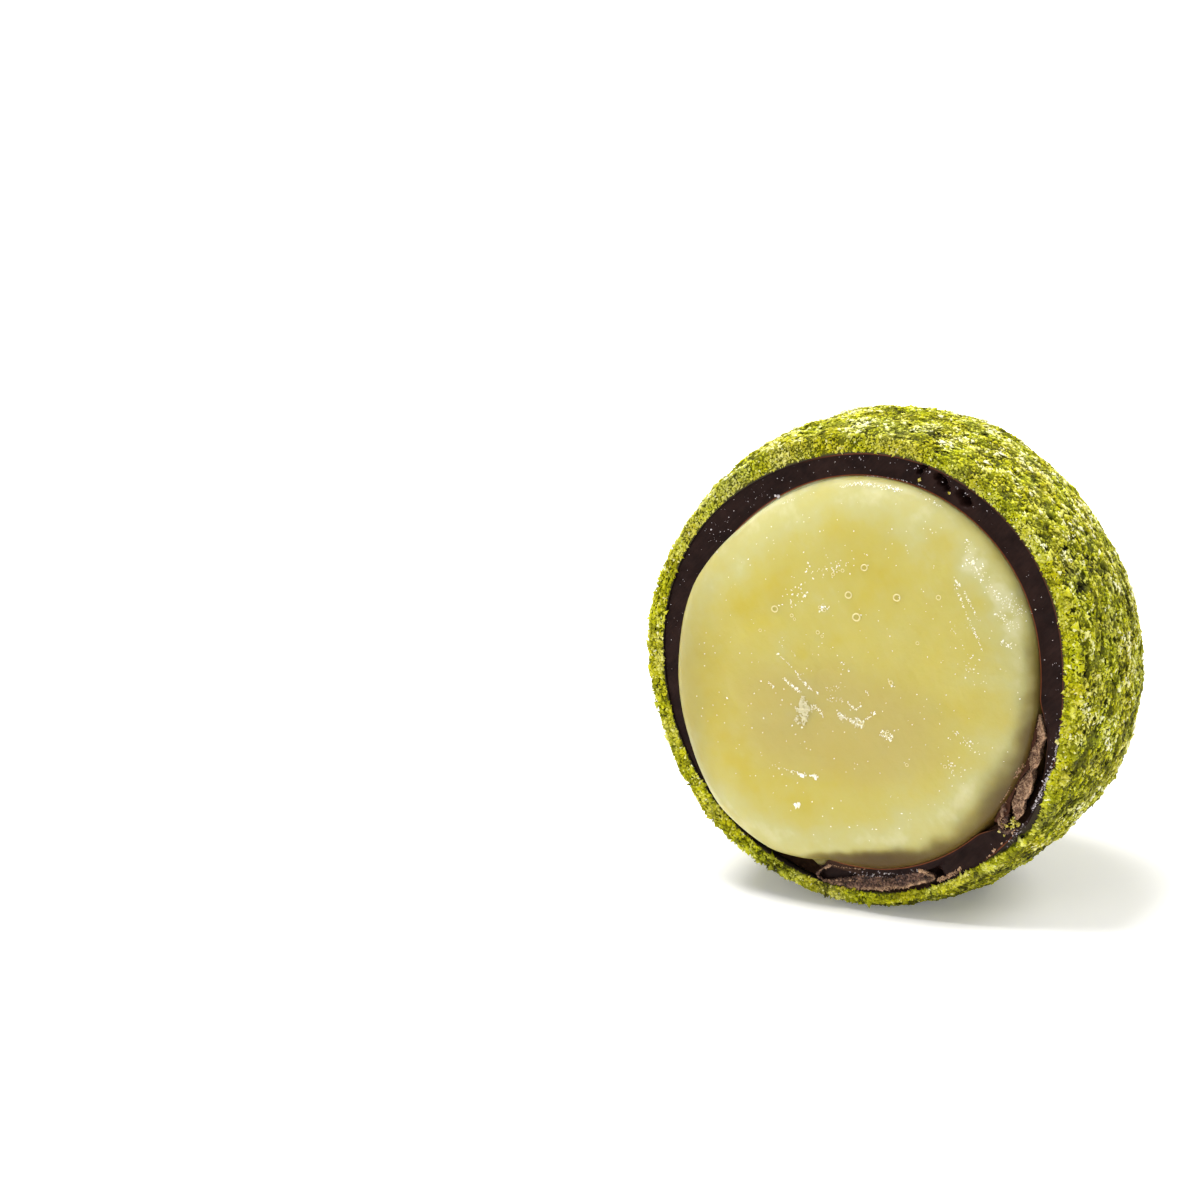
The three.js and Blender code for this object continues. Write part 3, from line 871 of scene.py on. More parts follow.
def warmth(x, y):
    """How yellow the cream is, from 0 where it is milkiest to 1, and less again where a painted sheen
    makes it paler: in spots, and along its very edge.
    """
    azimuth = azimuth_of(x, y)
    away = np.hypot(x, y)
    past_milky = away + 0.7 * noise(on_cut(x, y), 2.5, 37) - round_cut(MILKY_FROM, azimuth, 8)
    warm = 0.6 - 0.6 * step_up(past_milky, 0.7) + 0.25 * spotted(x, y, YELLOW_SPOTS, 0.4, 0.9, 38)
    # Spots of painted sheen make the cream paler.
    painted_sheen = 0.3 * spotted(x, y, PAINTED_SHEEN_SPOTS, 0.5, 0.6, 40)
    _, widest, _ = filling_edge(azimuth)
    # A painted sheen along the very edge makes it paler.
    rim = round_cut(PAINTED_SHEEN_RIM, azimuth, 4)
    rim_sheen = 0.2 * step_up(away + rim - widest, 0.06) * (rim > 0.02)
    return np.clip(warm, 0.2, 1) - painted_sheen - rim_sheen


def dome_height(x, y, widest, rise):
    share = np.clip(np.hypot(x, y) / widest, 0, 1)
    angle = np.arccos(share ** (1 / FILLING_SHOULDER))
    dome = rise + (DOME_CROWN - rise) * np.sin(angle) ** FILLING_SLOPE
    return CUT_HEIGHT + dome + filling_relief(x, y) * np.sin(angle)


def cut_surface(x, y):
    """Height of the surface that shows at a place of the cut: the filling's, or the shell's face."""
    azimuth = azimuth_of(x, y)
    _, widest, rise = filling_edge(azimuth)
    dome = dome_height(x, y, widest, rise)
    return np.where(np.hypot(x, y) < widest, dome, shell_cut(azimuth)["face"])


def make_filling(material):
    azimuth = ring_azimuths(FILLING_COLUMNS)
    neck, widest, rise = filling_edge(azimuth)
    foot = shell_cut(azimuth)["slot_floor"] - SLOT_BEVEL
    in_shell = rings_to_back(filling_surface, azimuth, foot, BACK_RINGS, -LAYER_GAP)[::-1]
    tucked = TUCK * np.clip((widest - neck) / FULL_OVERHANG, 0, 1)
    lip = widest - tucked + round_cut(LIP_FILM, azimuth, 0.5)
    away = widest * np.maximum(np.cos(dome_angles()[:, None]), 0) ** FILLING_SHOULDER
    dome = cylinder(azimuth[None, :], away, CUT_HEIGHT)
    dome[..., 2] = dome_height(dome[..., 0], dome[..., 1], widest, rise)
    corners = (
        (in_shell[-1], 3),
        (cylinder(azimuth, neck, CUT_HEIGHT), 6),
        (cylinder(azimuth, lip, CUT_HEIGHT + OVERHANG_CLEARANCE * rise / FILLING_EDGE_RISE), 5),
        (dome[0], 0),
    )
    rows = np.concatenate([in_shell[:-1], *joined(corners), dome])
    x, y = rows[..., 0], rows[..., 1]
    edge_darkening, width, soft = (
        round_cut([(row[0], row[column]) for row in THIN_EDGE_AND_SHADE], azimuth, 4) for column in (1, 2, 3)
    )
    ragged = layered(rows, (0.2, 1.1, 39), (0.05, 0.4, 41))
    # How much the edge darkens: chocolate seen through it, and painted shade.
    thin = edge_darkening * step_up(np.hypot(x, y) + width - ragged - widest, 0.5 * soft)
    thin[: -len(dome)] = edge_darkening
    filling = make_turned(
        "filling_dressed", rows, material, "cream_filling",
        thin=thin, warm=warmth(x, y) + 0.5 * thin, rosy=rosy_share(x, y, 0.12),
    )
    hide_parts("filling")


# ---- The broken pieces ----

# Edges of the broken strips as the cut is looked at: (azimuth, inside, outside). The film is what is
# left of the shell between the sliver and the cream.
SLIVER_EDGES = (
    (-37.3, 12.95, 13.1), (-36.3, 12.65, 13.15), (-35.3, 12.3, 13.2), (-34.2, 12.15, 13.25),
    (-33.2, 12.06, 12.98), (-30.7, 11.9, 12.77), (-29.4, 11.86, 12.95), (-28.2, 11.86, 12.84),
    (-25.6, 11.88, 12.66), (-24.6, 11.98, 12.48), (-23.6, 12.1, 12.26), (-22.4, 12.08, 12.24),
    (-21.4, 11.8, 12.42), (-20.2, 11.7, 12.54), (-17.9, 11.62, 12.4), (-16, 11.72, 12.2),
    (-14.4, 11.8, 12.2), (-12.4, 11.7, 12.4), (-10.4, 11.56, 12.12), (-8, 11.51, 11.76),
    (-6.7, 11.5, 11.64),
)
FILM_EDGES = (
    (-42.5, 12.15, 12.3), (-41, 12.05, 12.42), (-39, 11.92, 12.5), (-37.2, 11.8, 12.42),
    (-36.4, 11.74, 12.3), (-35.8, 11.98, 12.22), (-35.2, 11.72, 12.12), (-34, 11.7, 12.05),
    (-30, 11.55, 11.84), (-25, 11.48, 11.87), (-23, 11.48, 12.05), (-20, 11.5, 11.66),
    (-17.5, 11.5, 11.64), (-15.5, 11.5, 11.74), (-13, 11.5, 11.76), (-10.5, 11.5, 11.54),
    (-9, 11.5, 11.53),
)
CHIP_EDGES = (
    (-98.9, 13.62, 13.7), (-96.8, 13.48, 13.74), (-94.6, 13.26, 13.72), (-92.2, 13.06, 13.68),
    (-89.3, 12.86, 13.66), (-86.4, 12.82, 13.66), (-82.7, 12.82, 13.66), (-79.9, 12.86, 13.54),
    (-78.5, 12.93, 13.58), (-76.9, 12.74, 13.64), (-73.5, 12.7, 13.48), (-69.6, 12.72, 13.5),
    (-67.8, 12.95, 13.5), (-66.8, 13.2, 13.42),
)
# Heights of the strips' outer edges over the cut: (azimuth, height).
SLIVER_TOP = (
    (-37.6, 0.15), (-33, 0.35), (-29, 0.45), (-23.2, 0.2), (-20, 0.4), (-16, 0.3), (-13, 0.45),
    (-7, 0.12),
)
FILM_TOP = ((0, 0),)
CHIP_TOP = ((0, 0.06),)
SLIVER_DEPTH = 1.0
CHIP_DEPTH = 0.3
STRIP_STEPS = 170
STRIP_CREASE = 55
# Shreds of chocolate that curled up where it broke: (thickness, paleness, line), where each place on
# the line is (azimuth, away, height over the cut).
SHREDS = (
    # the chip's left end, which curls round on itself
    (0.05, 0.2, (
        (-98.1, 12.64, 0.02), (-98.8, 12.76, 0.05), (-99.6, 12.98, 0.06), (-100.4, 13.15, 0.04),
    )),
    (0.09, 0.05, (
        (-99.9, 13.1, -0.04), (-100.9, 13.32, -0.02), (-100.4, 13.52, -0.02), (-98.8, 13.66, -0.04),
    )),
    # lumps in the hollow between the sliver and the cream
    (0.07, 0.3, ((-40.6, 12.2, 0.0), (-41.5, 12.36, 0.08), (-41.9, 12.55, 0.08), (-41.5, 12.8, 0.06))),
    (0.1, 0.25, ((-37.9, 12.0, 0.0), (-38.6, 12.06, 0.1), (-39.2, 12.2, 0.1), (-39.5, 12.34, 0.0))),
    (0.13, 0.12, ((-36.6, 11.8, 0.0), (-37.1, 11.9, 0.12), (-37.6, 12.06, 0.1), (-37.6, 12.25, 0.0))),
    (0.13, 0.0, ((-38.2, 12.4, -0.2), (-39.2, 12.55, -0.1), (-40.6, 12.6, -0.1), (-41.6, 12.5, -0.2))),
    (0.14, 0.0, (
        (-43.2, 12.6, -0.1), (-42.6, 12.9, -0.05), (-41.8, 13.15, -0.05), (-40.6, 13.3, -0.1),
    )),
)


def table_columns(table, azimuth):
    """The other columns of a table whose first one is azimuth, at each azimuth."""
    at, *columns = zip(*table)
    return [np.interp(azimuth, at, column) for column in columns]


def swept(sections):
    """Points and faces of a closed body swept through sections, an array of steps by corners by 3."""
    steps, sides = sections.shape[:2]
    points = np.concatenate((sections.reshape(-1, 3), sections[:1].mean(1), sections[-1:].mean(1)))
    here = np.arange(steps * sides).reshape(steps, sides)
    after = np.roll(here, -1, 1)
    end = np.full(sides, steps * sides)
    return points, [
        np.stack((after[:-1], here[:-1], here[1:], after[1:]), -1).reshape(-1, 4),
        np.stack((end, here[0], after[0]), 1),
        np.stack((end + 1, after[-1], here[-1]), 1),
    ]


SIDE_STEPS = 12
RIDGE_WIDTH = 0.12


def finer_sections(corners):
    """Sections of more points from sections of four corners: each side is divided evenly."""
    share = (np.arange(SIDE_STEPS) / SIDE_STEPS)[:, None]
    following = np.roll(corners, -1, axis=1)
    fine = corners[:, :, None, :] * (1 - share) + following[:, :, None, :] * share
    return fine.reshape(len(corners), -1, 3)


def break_up(name, corners, material, slot, roughness, seed, **attributes):
    """A rough piece swept through four-cornered sections, whose second corner is its paler ridge, partly
    a painted highlight.
    It gives the piece, and its surface's points with their outward directions."""
    sections = finer_sections(corners)
    outwards = unit(sections - sections.mean(1, keepdims=True))
    bumps = layered(sections, (1, 0.5, seed), (0.8, 0.22, seed + 1))
    sections = sections + outwards * (roughness * (bumps - 0.3))[..., None]
    # The ridge is painted paler, partly a painted highlight along the raised edge.
    ridge = np.exp(-((np.linalg.norm(sections - corners[:, 1:2], axis=-1) / RIDGE_WIDTH) ** 2))
    ridge = np.clip(ridge * (0.85 + 1.4 * noise(sections, 0.4, seed + 2)), 0, 1)
    ridge = np.append(ridge, (0, 0))
    points, faces = swept(sections)
    piece = make_piece(name, points, faces, material, slot, **{
        key: share + (1 - share) * ridge if key == "edge" else np.full(len(points), share)
        for key, share in attributes.items()
    })
    piece.data.set_sharp_from_angle(angle=math.radians(STRIP_CREASE))
    return piece, sections, outwards


GRIT_SIZE = 0.12


def grit(name, sections, outwards, share_along, count, palest, material, random):
    """Grains stuck to the top of a swept piece: share_along gives how thickly they lie along it."""
    steps, sides = sections.shape[:2]
    step = np.interp(random.uniform(0, 1, count), np.linspace(0, 1, len(share_along)), share_along)
    step = np.clip((step * (steps - 1)).astype(int), 0, steps - 1)
    side = random.integers(0, sides // 4 + 2, count)
    sizes = GRIT_SIZE * (0.3 + 0.7 * random.beta(1, 2.5, count))
    centres = sections[step, side] + 0.1 * sizes[:, None] * AXIS
    centres = centres + 0.03 * random.normal(size=centres.shape)
    normals = unit(outwards[step, side] + AXIS)
    points, faces, each = grain_meshes(centres, normals, sizes, random, flat=0.8)
    edge = np.repeat(palest * random.uniform(0, 1, count) ** 2, each)
    make_piece(name, points, [faces], material, "broken_chocolate", smooth=False, edge=edge)


def strip_corners(edges, outer_top, inner_top, depth):
    """Four-cornered sections of a strip, whose inner top is at one height over the cut."""
    azimuth = np.linspace(edges[0][0], edges[-1][0], STRIP_STEPS)
    inside, outside = table_columns(edges, azimuth)
    (outer_top,) = table_columns(outer_top, azimuth)
    middle = cylinder(azimuth, (inside + outside) / 2, 0)
    outside = outside + 0.05 * noise(middle, 0.4, 51)
    inside = inside + 0.04 * noise(middle, 0.4, 52)
    return np.stack((
        cylinder(azimuth, inside, CUT_HEIGHT + inner_top),
        cylinder(azimuth, outside, CUT_HEIGHT + outer_top),
        cylinder(azimuth, inside + 0.6 * (outside - inside), CUT_HEIGHT - depth),
        cylinder(azimuth, inside, CUT_HEIGHT - depth),
    ), 1)


def make_sliver(material, chocolate):
    corners = strip_corners(SLIVER_EDGES, SLIVER_TOP, 0.02, SLIVER_DEPTH)
    sliver, *surface = break_up(
        "side_sliver_dressed", corners, material, "broken_chocolate", 0.1, 41, edge=0.15
    )
    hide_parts("side_sliver")
    random = np.random.default_rng(61)
    along = (0.02, 0.2, 0.35, 0.55, 0.62, 0.75, 0.95)
    grit("sliver_grit", *surface, along, 1500, 1.0, material, random)
    film = strip_corners(FILM_EDGES, FILM_TOP, 0.08, SLIVER_DEPTH)
    break_up("sliver_film", film, chocolate, "dark_chocolate", 0.04, 45, broken=0.2, seam=0.12)


def make_chip(material):
    corners = strip_corners(CHIP_EDGES, CHIP_TOP, -0.02, CHIP_DEPTH)
    chip, *surface = break_up(
        "bottom_chip_dressed", corners, material, "broken_chocolate", 0.08, 43, edge=0
    )
    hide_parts("bottom_chip")
    random = np.random.default_rng(62)
    along = (0.02, 0.1, 0.2, 0.35, 0.5, 0.62, 0.92, 0.99)
    grit("chip_grit", *surface, along, 1000, 0.45, material, random)


SHRED_SIDES = 14
SHRED_STEPS = 12


def make_shreds(material):
    """Round-sectioned shreds along their lines, in one piece."""
    points = []
    faces = []
    edges = []
    start = 0
    turn = np.linspace(0, 2 * math.pi, SHRED_SIDES, endpoint=False)[None, :, None]
    for number, (thickness, pale, line) in enumerate(SHREDS):
        share = np.linspace(0, 1, SHRED_STEPS * len(line))
        at = np.linspace(0, 1, len(line))
        azimuth, away, height = (np.interp(share, at, column) for column in zip(*line))
        spine = cylinder(azimuth, away, CUT_HEIGHT + height)
        for _ in range(6):
            spine[1:-1] = (spine[:-2] + 2 * spine[1:-1] + spine[2:]) / 4
        ahead = unit(np.gradient(spine, axis=0))
        side = unit(np.cross(ahead, AXIS))
        rise = np.cross(side, ahead)
        round_ends = np.sqrt(np.clip(1 - (2 * share - 1) ** 4, 0, 1))
        radius = (thickness * (0.25 + 0.75 * round_ends))[:, None, None]
        around = np.cos(turn) * side[:, None, :] + 1.3 * np.sin(turn) * rise[:, None, :]
        sections = spine[:, None, :] + radius * around
        bumps = layered(sections, (1, 0.22, 71 + number), (0.5, 0.1, 91 + number))
        body, body_faces = swept(sections + (0.45 * thickness * bumps)[..., None] * around)
        points.append(body)
        faces += [part + start for part in body_faces]
        edges.append(np.clip(pale + 0.15 * noise(body, 0.2, 111), 0, 1))
        start += len(body)
    make_piece("chocolate_shreds", np.concatenate(points), faces, material, "broken_chocolate",
               edge=np.concatenate(edges))


# ---- Specks, painted glints, bubbles and stray crumbs on the cut ----

# Trails of white specks on the cream, painted glints and sheen of its wet surface: (x, y, to x,
# to y, width, count, largest).
CREAM_GLINT_TRAILS = (
    (-4.83, 1.4, -4.48, 1.0, 0.03, 6, 0.11), (-4.94, 0.7, -3.87, -0.08, 0.03, 16, 0.13),
    (-3.95, 0.89, -3.67, 0.62, 0.03, 5, 0.13), (-3.59, -0.34, -3.31, -0.62, 0.06, 14, 0.11),
    (-4.38, -0.82, -3.27, -1.54, 0.08, 70, 0.14), (-3.37, -0.69, -2.09, -1.52, 0.07, 32, 0.12),
    (-5.38, -1.21, -4.88, -1.57, 0.05, 12, 0.12), (-2.46, -2.06, -1.71, -2.77, 0.08, 34, 0.12),
    (-1.5, -1.1, -0.5, -0.9, 0.12, 20, 0.1), (-1.4, -1.7, -0.4, -1.7, 0.14, 22, 0.1),
    (-0.09, -1.74, 0.41, -2.16, 0.04, 16, 0.15), (0.41, -2.16, 0.8, -1.85, 0.04, 12, 0.14),
    (-0.71, -2.5, -0.03, -2.78, 0.08, 44, 0.14), (-0.03, -2.78, 1.04, -3.15, 0.08, 40, 0.14),
    (0.55, -2.6, 1.0, -2.9, 0.07, 20, 0.12), (1.15, -2.6, 1.78, -2.15, 0.07, 24, 0.12),
    (2.3, -3.4, 2.8, -3.5, 0.2, 16, 0.1), (1.1, -0.8, 1.2, -1.1, 0.08, 9, 0.12),
    (-0.6, 0.6, -0.3, 0.1, 0.3, 10, 0.12), (6.2, 6.6, 6.7, 6.1, 0.05, 20, 0.16),
    (6.35, 6.2, 8.4, 2.3, 0.07, 60, 0.13), (6.9, 5.9, 8.0, 4.2, 0.06, 40, 0.12),
    (8.3, 6.2, 10.0, 5.2, 0.26, 60, 0.13), (9.4, 5.4, 10.6, 4.6, 0.26, 50, 0.12),
    (8.9, 4.7, 10.3, 3.9, 0.2, 40, 0.12), (6.8, 7.8, 8.2, 6.7, 0.3, 40, 0.15),
    (7.22, 7.66, 7.3, 7.55, 0.05, 10, 0.34), (6.6, 8.9, 7.0, 8.2, 0.15, 16, 0.14),
    (9.5, 3.0, 10.0, 2.7, 0.15, 16, 0.2), (6.3, 3.9, 8.2, 0.6, 0.5, 40, 0.12),
    (-1.75, 11.03, -0.7, 11.36, 0.06, 34, 0.13), (-0.7, 11.36, 1.1, 11.4, 0.09, 50, 0.13),
    (1.1, 11.4, 2.2, 11.25, 0.08, 44, 0.14), (3.3, 11.15, 4.9, 10.5, 0.05, 18, 0.11),
    (-5.6, 9.6, -3.4, 10.5, 0.1, 18, 0.1), (6.8, -2.6, 8.2, -3.6, 0.2, 24, 0.16),
    (-5.2, -6.3, -1.9, -6.7, 0.06, 32, 0.14), (-3.2, -6.62, -2.85, -6.7, 0.05, 16, 0.34),
    (-2.2, -6.55, -1.8, -6.68, 0.05, 14, 0.26), (-3.4, -8.6, -3.15, -8.6, 0.05, 12, 0.36),
    (-3.2, 5.6, -0.6, 6.6, 0.4, 36, 0.18), (-5.0, 3.6, -2.8, 4.8, 0.4, 30, 0.18),
    (-2.4, 3.6, -1.7, 3.9, 0.12, 16, 0.16), (6.5, -4.6, 7.3, -5.4, 0.35, 22, 0.14),
    (2.2, -3.2, 2.9, -3.6, 0.16, 20, 0.2), (2.4, 0.0, 2.9, -0.6, 0.12, 10, 0.14),
)
LOOSE_CREAM_GLINTS = 300
LOOSE_CREAM_AWAY = 10.8
# Where cream was torn, it dried to thin pale scabs, whose paleness is partly a painted highlight:
# (x, y, spread, count, largest).
TORN_SHEEN_FLAKES = (
    (-2.95, -2.6, 0.15, 30, 0.5), (-2.95, -2.7, 0.26, 40, 0.24), (-3.4, -3.35, 0.12, 14, 0.24),
    (-2.9, -3.4, 0.1, 8, 0.3), (-3.05, -1.9, 0.08, 12, 0.26), (-2.45, -2.45, 0.12, 14, 0.22),
    (-0.5, -2.75, 0.12, 14, 0.22), (0.5, -2.85, 0.14, 18, 0.22),
)
BUBBLES = (
    (0.5, 6.55, 0.19), (-0.42, 4.77, 0.2), (-5.25, 3.3, 0.19), (0.2, 3.5, 0.23), (2.72, 4.99, 0.21),
    (5.39, 5.32, 0.14), (-2.25, 3.8, 0.09), (-1.95, 3.65, 0.1), (-2.05, 3.95, 0.08), (-4.1, 3.05, 0.1),
    (-3.9, 2.85, 0.08), (-2.3, 2.25, 0.11), (-2.0, 2.05, 0.09), (2.4, -3.35, 0.11), (2.65, -3.5, 0.12),
    (2.6, -3.2, 0.09), (0.9, -2.9, 0.12), (2.65, -0.2, 0.12), (-1.5, 5.9, 0.1), (-0.9, 6.2, 0.1),
    (4.2, 2.4, 0.1), (-6.1, 1.9, 0.09), (3.9, -5.1, 0.1), (6.3, -4.9, 0.1),
)
# Trails of dust, crumbs and painted glints on the shell's face and along the breaks: (azimuth, away,
# to azimuth, to away, width, count, largest).
DUST_AND_GLINT_TRAILS = (
    (-11, 13.02, -17, 13.2, 0.07, 34, 0.12), (-15, 13.15, -22, 13.25, 0.14, 44, 0.12),
    (-21, 13.25, -32, 13.42, 0.11, 150, 0.13), (-36, 13.62, -44, 13.7, 0.14, 50, 0.09),
    (96, 11.68, 73, 12.02, 0.02, 70, 0.09), (-8, 13.0, -14, 13.1, 0.04, 20, 0.12),
    (-92, 12.74, -70, 12.6, 0.12, 30, 0.16), (-89, 12.8, -79, 12.85, 0.03, 16, 0.14),
    (-109.6, 13.1, -108.6, 13.08, 0.03, 8, 0.3), (122, 11.6, 123.5, 11.75, 0.03, 10, 0.2),
    (95, 12.85, 60, 12.95, 0.08, 26, 0.12), (118, 12.2, 150, 12.4, 0.5, 40, 0.1),
)
LOOSE_DUST_SPECKS = 150
TAN_TRAILS = (
    (-66.2, 13.6, -59, 13.42, 0.09, 90, 0.22), (-70.5, 12.68, -69.2, 12.8, 0.07, 30, 0.22),
    (-69.6, 12.8, -67.2, 13.25, 0.07, 50, 0.22), (-98.9, 12.83, -97.6, 12.62, 0.05, 34, 0.2),
    (-97.8, 12.58, -87, 12.42, 0.02, 60, 0.1), (-98.5, 13.62, -90, 13.2, 0.04, 50, 0.13),
    (-90, 13.66, -74, 13.56, 0.06, 70, 0.18), (-22, 11.62, -27, 11.62, 0.05, 50, 0.16),
    (-30, 11.66, -36, 11.76, 0.02, 40, 0.09), (-39.5, 13.4, -41, 13.42, 0.05, 12, 0.16),
    (-42, 13.2, -43, 13.15, 0.04, 5, 0.16), (-44.8, 13.45, -45.4, 13.48, 0.03, 5, 0.24),
    (-47.5, 13.46, -48.5, 13.5, 0.04, 6, 0.24), (-50, 13.6, -51, 13.65, 0.05, 6, 0.2),
    (-36.5, 11.9, -38, 12.05, 0.08, 26, 0.14), (-38.5, 12.05, -41.8, 12.4, 0.1, 50, 0.12),
    (-40.5, 12.6, -42.8, 12.9, 0.14, 50, 0.12), (28, 13.42, -6, 13.4, 0.02, 150, 0.1),
)
STRAY_TRAILS = (
    (-37.6, 12.9, -40.0, 13.2, 0.14, 46, 0.17), (-37.4, 13.3, -38.2, 13.4, 0.05, 8, 0.26),
    (-41.2, 12.3, -41.6, 12.9, 0.05, 14, 0.11), (-38.2, 13.3, -38.0, 13.3, 0.03, 6, 0.26),
    (-40.9, 12.8, -40.5, 13.0, 0.06, 12, 0.16), (-43.6, 12.8, -43.4, 12.84, 0.04, 8, 0.22),
    (-43.1, 13.2, -43.0, 13.25, 0.02, 3, 0.26), (-12.2, 13.05, -12.8, 13.2, 0.04, 6, 0.5),
    (75.8, 12.28, 75.9, 12.3, 0.02, 4, 0.3), (66.2, 12.4, 66.2, 12.45, 0.03, 4, 0.26),
    (-88, 13.75, -97, 13.9, 0.08, 16, 0.3),
)

# The distance from the axis at which trails round the ring are unrolled.
RING_AWAY = 13
SLOPE_STEP = 0.05
STEEPEST = 3
BUBBLE_STEPS = 24
BUBBLE_SIDES = 8


def scatter(trails, random):
    """Places and sizes of small things that lie thickest along straight trails."""
    places = []
    sizes = []
    for *ends, width, count, largest in trails:
        start, end = np.reshape(ends, (2, 2))
        share = random.uniform(0, 1, (count, 1))
        astray = width * random.normal(size=(count, 2)) * 0.7
        places.append(start + (end - start) * share + astray)
        sizes.append(largest * (0.3 + 0.7 * random.beta(1, 2.2, count)))
    return np.concatenate(places), np.concatenate(sizes)


def scatter_round(trails, random):
    """The same for trails given by azimuth and distance from the axis, which follow the ring round."""
    a_degree = math.radians(RING_AWAY)
    laid = [(from_ * a_degree, away, to * a_degree, *rest) for from_, away, to, *rest in trails]
    places, sizes = scatter(laid, random)
    return cylinder(places[:, 0] / a_degree, places[:, 1], 0)[:, :2], sizes


def lay_specks(name, places, sizes, lift, material, slot, random, **shape):
    """A piece of grains on the cut, each lifted by a share of its size. They lie level where the cut
    is too steep."""
    x, y = places.T
    centres = np.stack((x, y, cut_surface(x, y) + lift * sizes), -1)
    slopes = np.stack((
        cut_surface(x + SLOPE_STEP, y) - cut_surface(x - SLOPE_STEP, y),
        cut_surface(x, y + SLOPE_STEP) - cut_surface(x, y - SLOPE_STEP),
    ), -1) / (2 * SLOPE_STEP)
    slopes[np.hypot(*slopes.T) > STEEPEST] = 0
    normals = unit(np.append(-slopes, np.ones((len(x), 1)), 1))
    points, faces, each = grain_meshes(centres, normals, sizes, random, **shape)
    tint = np.repeat(random.uniform(0.0, 1.0, len(x)), each)
    make_piece(name, points, [faces], material, slot, smooth=False, tint=tint, edge=tint)


def make_torn_sheen_flakes(material):
    # Pale torn flakes on the cream, partly a painted highlight.
    random = np.random.default_rng(29)
    x, y, spread, count, largest = np.array(TORN_SHEEN_FLAKES).T
    x, y, spread, largest = np.repeat((x, y, spread, largest), count.astype(int), axis=1)
    places = np.stack((x, y), -1)
    places = places + spread[:, None] * random.normal(size=places.shape) * (0.8, 1.1)
    sizes = largest * random.uniform(0.35, 1, len(places))
    lay_specks("cream_torn_sheen_flakes", places, sizes, 0.0, material, "cream_filling", random, flat=0.12)


def make_specks(cream_glint_speck, dust_and_glint_speck, tan, stray):
    random = np.random.default_rng(23)
    # White specks on the cream, along trails and loose, are painted glints.
    places, sizes = scatter(CREAM_GLINT_TRAILS, random)
    turn = random.uniform(0, 2 * math.pi, LOOSE_CREAM_GLINTS)
    away = LOOSE_CREAM_AWAY * np.sqrt(random.uniform(0, 1, LOOSE_CREAM_GLINTS))
    places = np.append(places, np.stack((away * np.cos(turn), away * np.sin(turn)), -1), 0)
    sizes = np.append(sizes, 0.05 + 0.08 * random.beta(1, 3, LOOSE_CREAM_GLINTS))
    lay_specks("cream_glint_specks", places, sizes, 0.05, cream_glint_speck, "cream_filling", random, flat=0.35)

    # Dust on the shell's face, and white specks that are painted glints.
    places, sizes = scatter_round(DUST_AND_GLINT_TRAILS, random)
    azimuth = random.uniform(-50, 190, LOOSE_DUST_SPECKS)
    inside = away_at(filling_surface, azimuth, CUT_HEIGHT) + round_cut(SLOT_WIDTH, azimuth)
    outside = away_at(shell_surface, azimuth, CUT_HEIGHT)
    away = inside + (outside - inside) * random.uniform(0.1, 0.95, LOOSE_DUST_SPECKS)
    places = np.append(places, cylinder(azimuth, away, 0)[:, :2], 0)
    sizes = np.append(sizes, 0.03 + 0.06 * random.beta(1, 3, LOOSE_DUST_SPECKS))
    lay_specks("dust_and_glint_specks", places, sizes, 0.2, dust_and_glint_speck, "dark_chocolate", random)

    crumbs = scatter_round(TAN_TRAILS, random)
    lay_specks("chocolate_crumbs", *crumbs, 0.3, tan, "broken_chocolate", random, flat=0.8)
    crumbs = scatter_round(STRAY_TRAILS, random)
    lay_specks("stray_crumbs", *crumbs, 0.4, stray, "crumb_coating", random, flat=0.8)


def make_bubbles(material):
    """Small rings with a raised rim, where bubbles burst in the cream."""
    around = np.linspace(0, 2 * math.pi, BUBBLE_STEPS, endpoint=False)[:, None]
    across = np.linspace(0, 2 * math.pi, BUBBLE_SIDES, endpoint=False)
    here = np.arange(BUBBLE_STEPS * BUBBLE_SIDES).reshape(BUBBLE_STEPS, BUBBLE_SIDES)
    after = np.roll(here, -1, axis=0)
    quads = np.stack((here, after, np.roll(after, -1, 1), np.roll(here, -1, 1)), -1).reshape(-1, 4)
    points = []
    for x, y, radius in BUBBLES:
        tube = 0.22 * radius
        away = radius + tube * np.cos(across)
        ring_x = x + away * np.cos(around)
        ring_y = y + 0.92 * away * np.sin(around)
        height = cut_surface(ring_x, ring_y) + tube * np.sin(across)
        points.append(np.stack((ring_x, ring_y, height), -1).reshape(-1, 3))
    faces = [quads + number * here.size for number in range(len(BUBBLES))]
    make_piece("cream_bubbles", np.concatenate(points), faces, material, "cream_filling")


# ---- Camera, floor and lights ----

CAMERA_AZIMUTH = 24.2
CAMERA_ELEVATION = 18.0
CAMERA_DISTANCE = 405.5
LENS = 199.5
SENSOR = 36
AIM_LEFT = 18.05
AIM_UP = 3.34
NEAREST = 0.01
FARTHEST = 20
FLOOR_SIZE = 6
FLOOR_DROP = 0.01
FLOOR_GLOW = 0.17
WORLD_STRENGTH = 0.4
# Soft lights: (name, place in metres, size, power).
SOFTBOXES = (
    ("overhead", (-0.16, 0.0, 0.48), 0.32, 4.1),
    ("front_fill", (-0.15, -0.5, 0.3), 0.3, 0.4),
    ("right_back", (0.3, 0.33, 0.42), 0.3, 1.85),
)


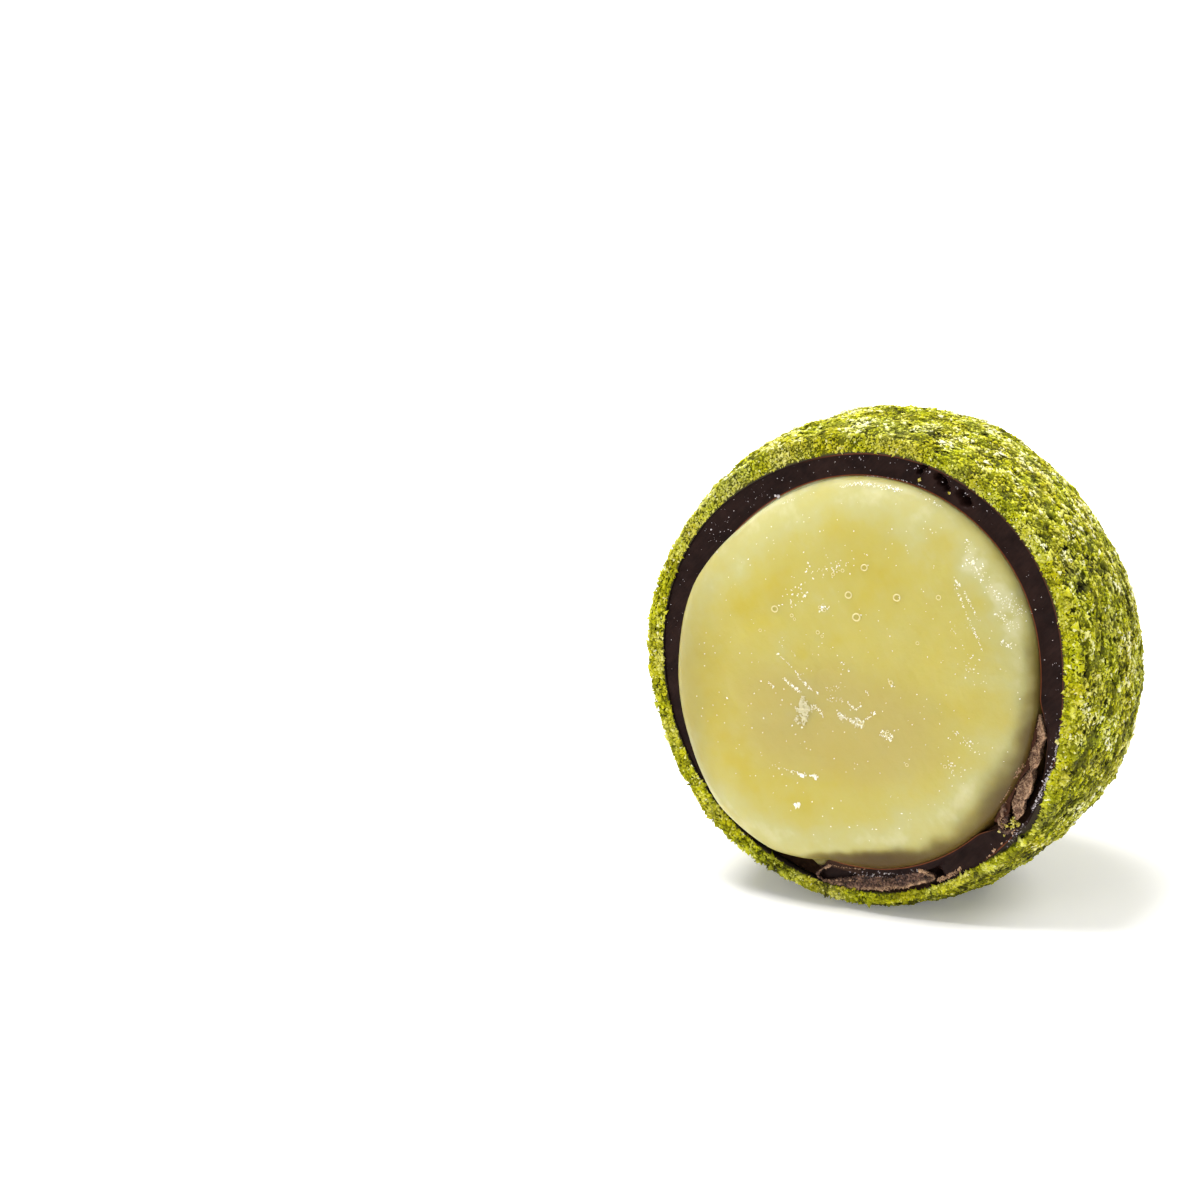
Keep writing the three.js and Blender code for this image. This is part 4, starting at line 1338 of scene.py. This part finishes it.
def make_camera():
    """A camera that keeps the ball's own upright, aimed to the left of it and above it."""
    turn = math.radians(CAMERA_AZIMUTH)
    rise = math.radians(CAMERA_ELEVATION)
    right = np.array((math.cos(turn), math.sin(turn), 0))
    ahead = np.array((-math.sin(turn), math.cos(turn), 0))
    above = ahead * math.sin(rise) + np.array((0, 0, math.cos(rise)))
    location = BALL_CENTRE + np.cross(right, above) * CAMERA_DISTANCE
    aim = BALL_CENTRE - right * AIM_LEFT + above * AIM_UP
    back = unit(location - aim)
    across = unit(np.cross(above, back))
    pose = np.eye(4)
    pose[:3, :3] = np.stack((across, np.cross(back, across), back), 1)
    pose[:3, 3] = location * MM
    camera = bpy.data.objects.new("camera", bpy.data.cameras.new("camera"))
    bpy.context.scene.collection.objects.link(camera)
    camera.matrix_world = Matrix(pose.tolist())
    camera.data.lens = LENS
    camera.data.sensor_width = SENSOR
    camera.data.clip_start = NEAREST
    camera.data.clip_end = FARTHEST
    bpy.context.scene.camera = camera


def make_floor():
    """A pale floor just under the praline. It glows a little, so that it fades into the background."""
    bpy.ops.mesh.primitive_plane_add(size=FLOOR_SIZE, location=(0, 0, -FLOOR_DROP * MM))
    floor = bpy.context.object
    floor.name = "floor"
    finish = Finish("white_table", Roughness=0.9, Specular_IOR_Level=0.0, Emission_Strength=FLOOR_GLOW)
    white = colour(250, 249, 248)
    floor.data.materials.append(finish.use(Base_Color=white, Emission_Color=(1, 1, 1, 1)))


def add_softbox(name, place, size, power):
    """A square soft light of that size and power, turned to the ball."""
    light = bpy.data.lights.new(name, "AREA")
    light.size = size
    light.energy = power
    softbox = bpy.data.objects.new(name, light)
    bpy.context.scene.collection.objects.link(softbox)
    softbox.location = place
    softbox.rotation_mode = "QUATERNION"
    middle = Vector(BALL_CENTRE * MM)
    softbox.rotation_quaternion = (middle - softbox.location).to_track_quat("-Z", "Y")


def make_lights():
    world = bpy.data.worlds.new("studio")
    bpy.context.scene.world = world
    world.use_nodes = True
    background = world.node_tree.nodes["Background"]
    background.inputs["Color"].default_value = (1, 1, 1, 1)
    background.inputs["Strength"].default_value = WORLD_STRENGTH
    for softbox in SOFTBOXES:
        add_softbox(*softbox)


# ---- The whole scene ----

bpy.context.scene.view_settings.view_transform = "Standard"
make_camera()
make_floor()
make_lights()

chocolate = chocolate_material()
snapped = broken_material("broken_chocolate", (58, 37, 29), (108, 77, 60), (198, 164, 134))
darker_snapped = broken_material(
    "broken_chocolate_at_the_foot", (38, 23, 19), (72, 49, 40), (132, 100, 82)
)
make_skin(crumb_material("packed_crumb", SKIN_SHADES, 0.8))
make_grains()
make_shell(chocolate)
make_filling(cream_material())
make_sliver(snapped, chocolate)
make_chip(darker_snapped)
make_shreds(darker_snapped)
make_specks(
    speck_material("cream_glint_speck", (232, 226, 186), (255, 255, 250)),
    speck_material("dust_and_glint_speck", (84, 66, 72), (236, 228, 230)),
    snapped,
    crumb_material("stray_crumb", STRAY_SHADES, 0.45),
)
make_torn_sheen_flakes(speck_material("cream_torn_sheen_flake", (196, 187, 140), (214, 205, 164)))
make_bubbles(speck_material("bubble_rim", (220, 209, 146), (252, 248, 222)))
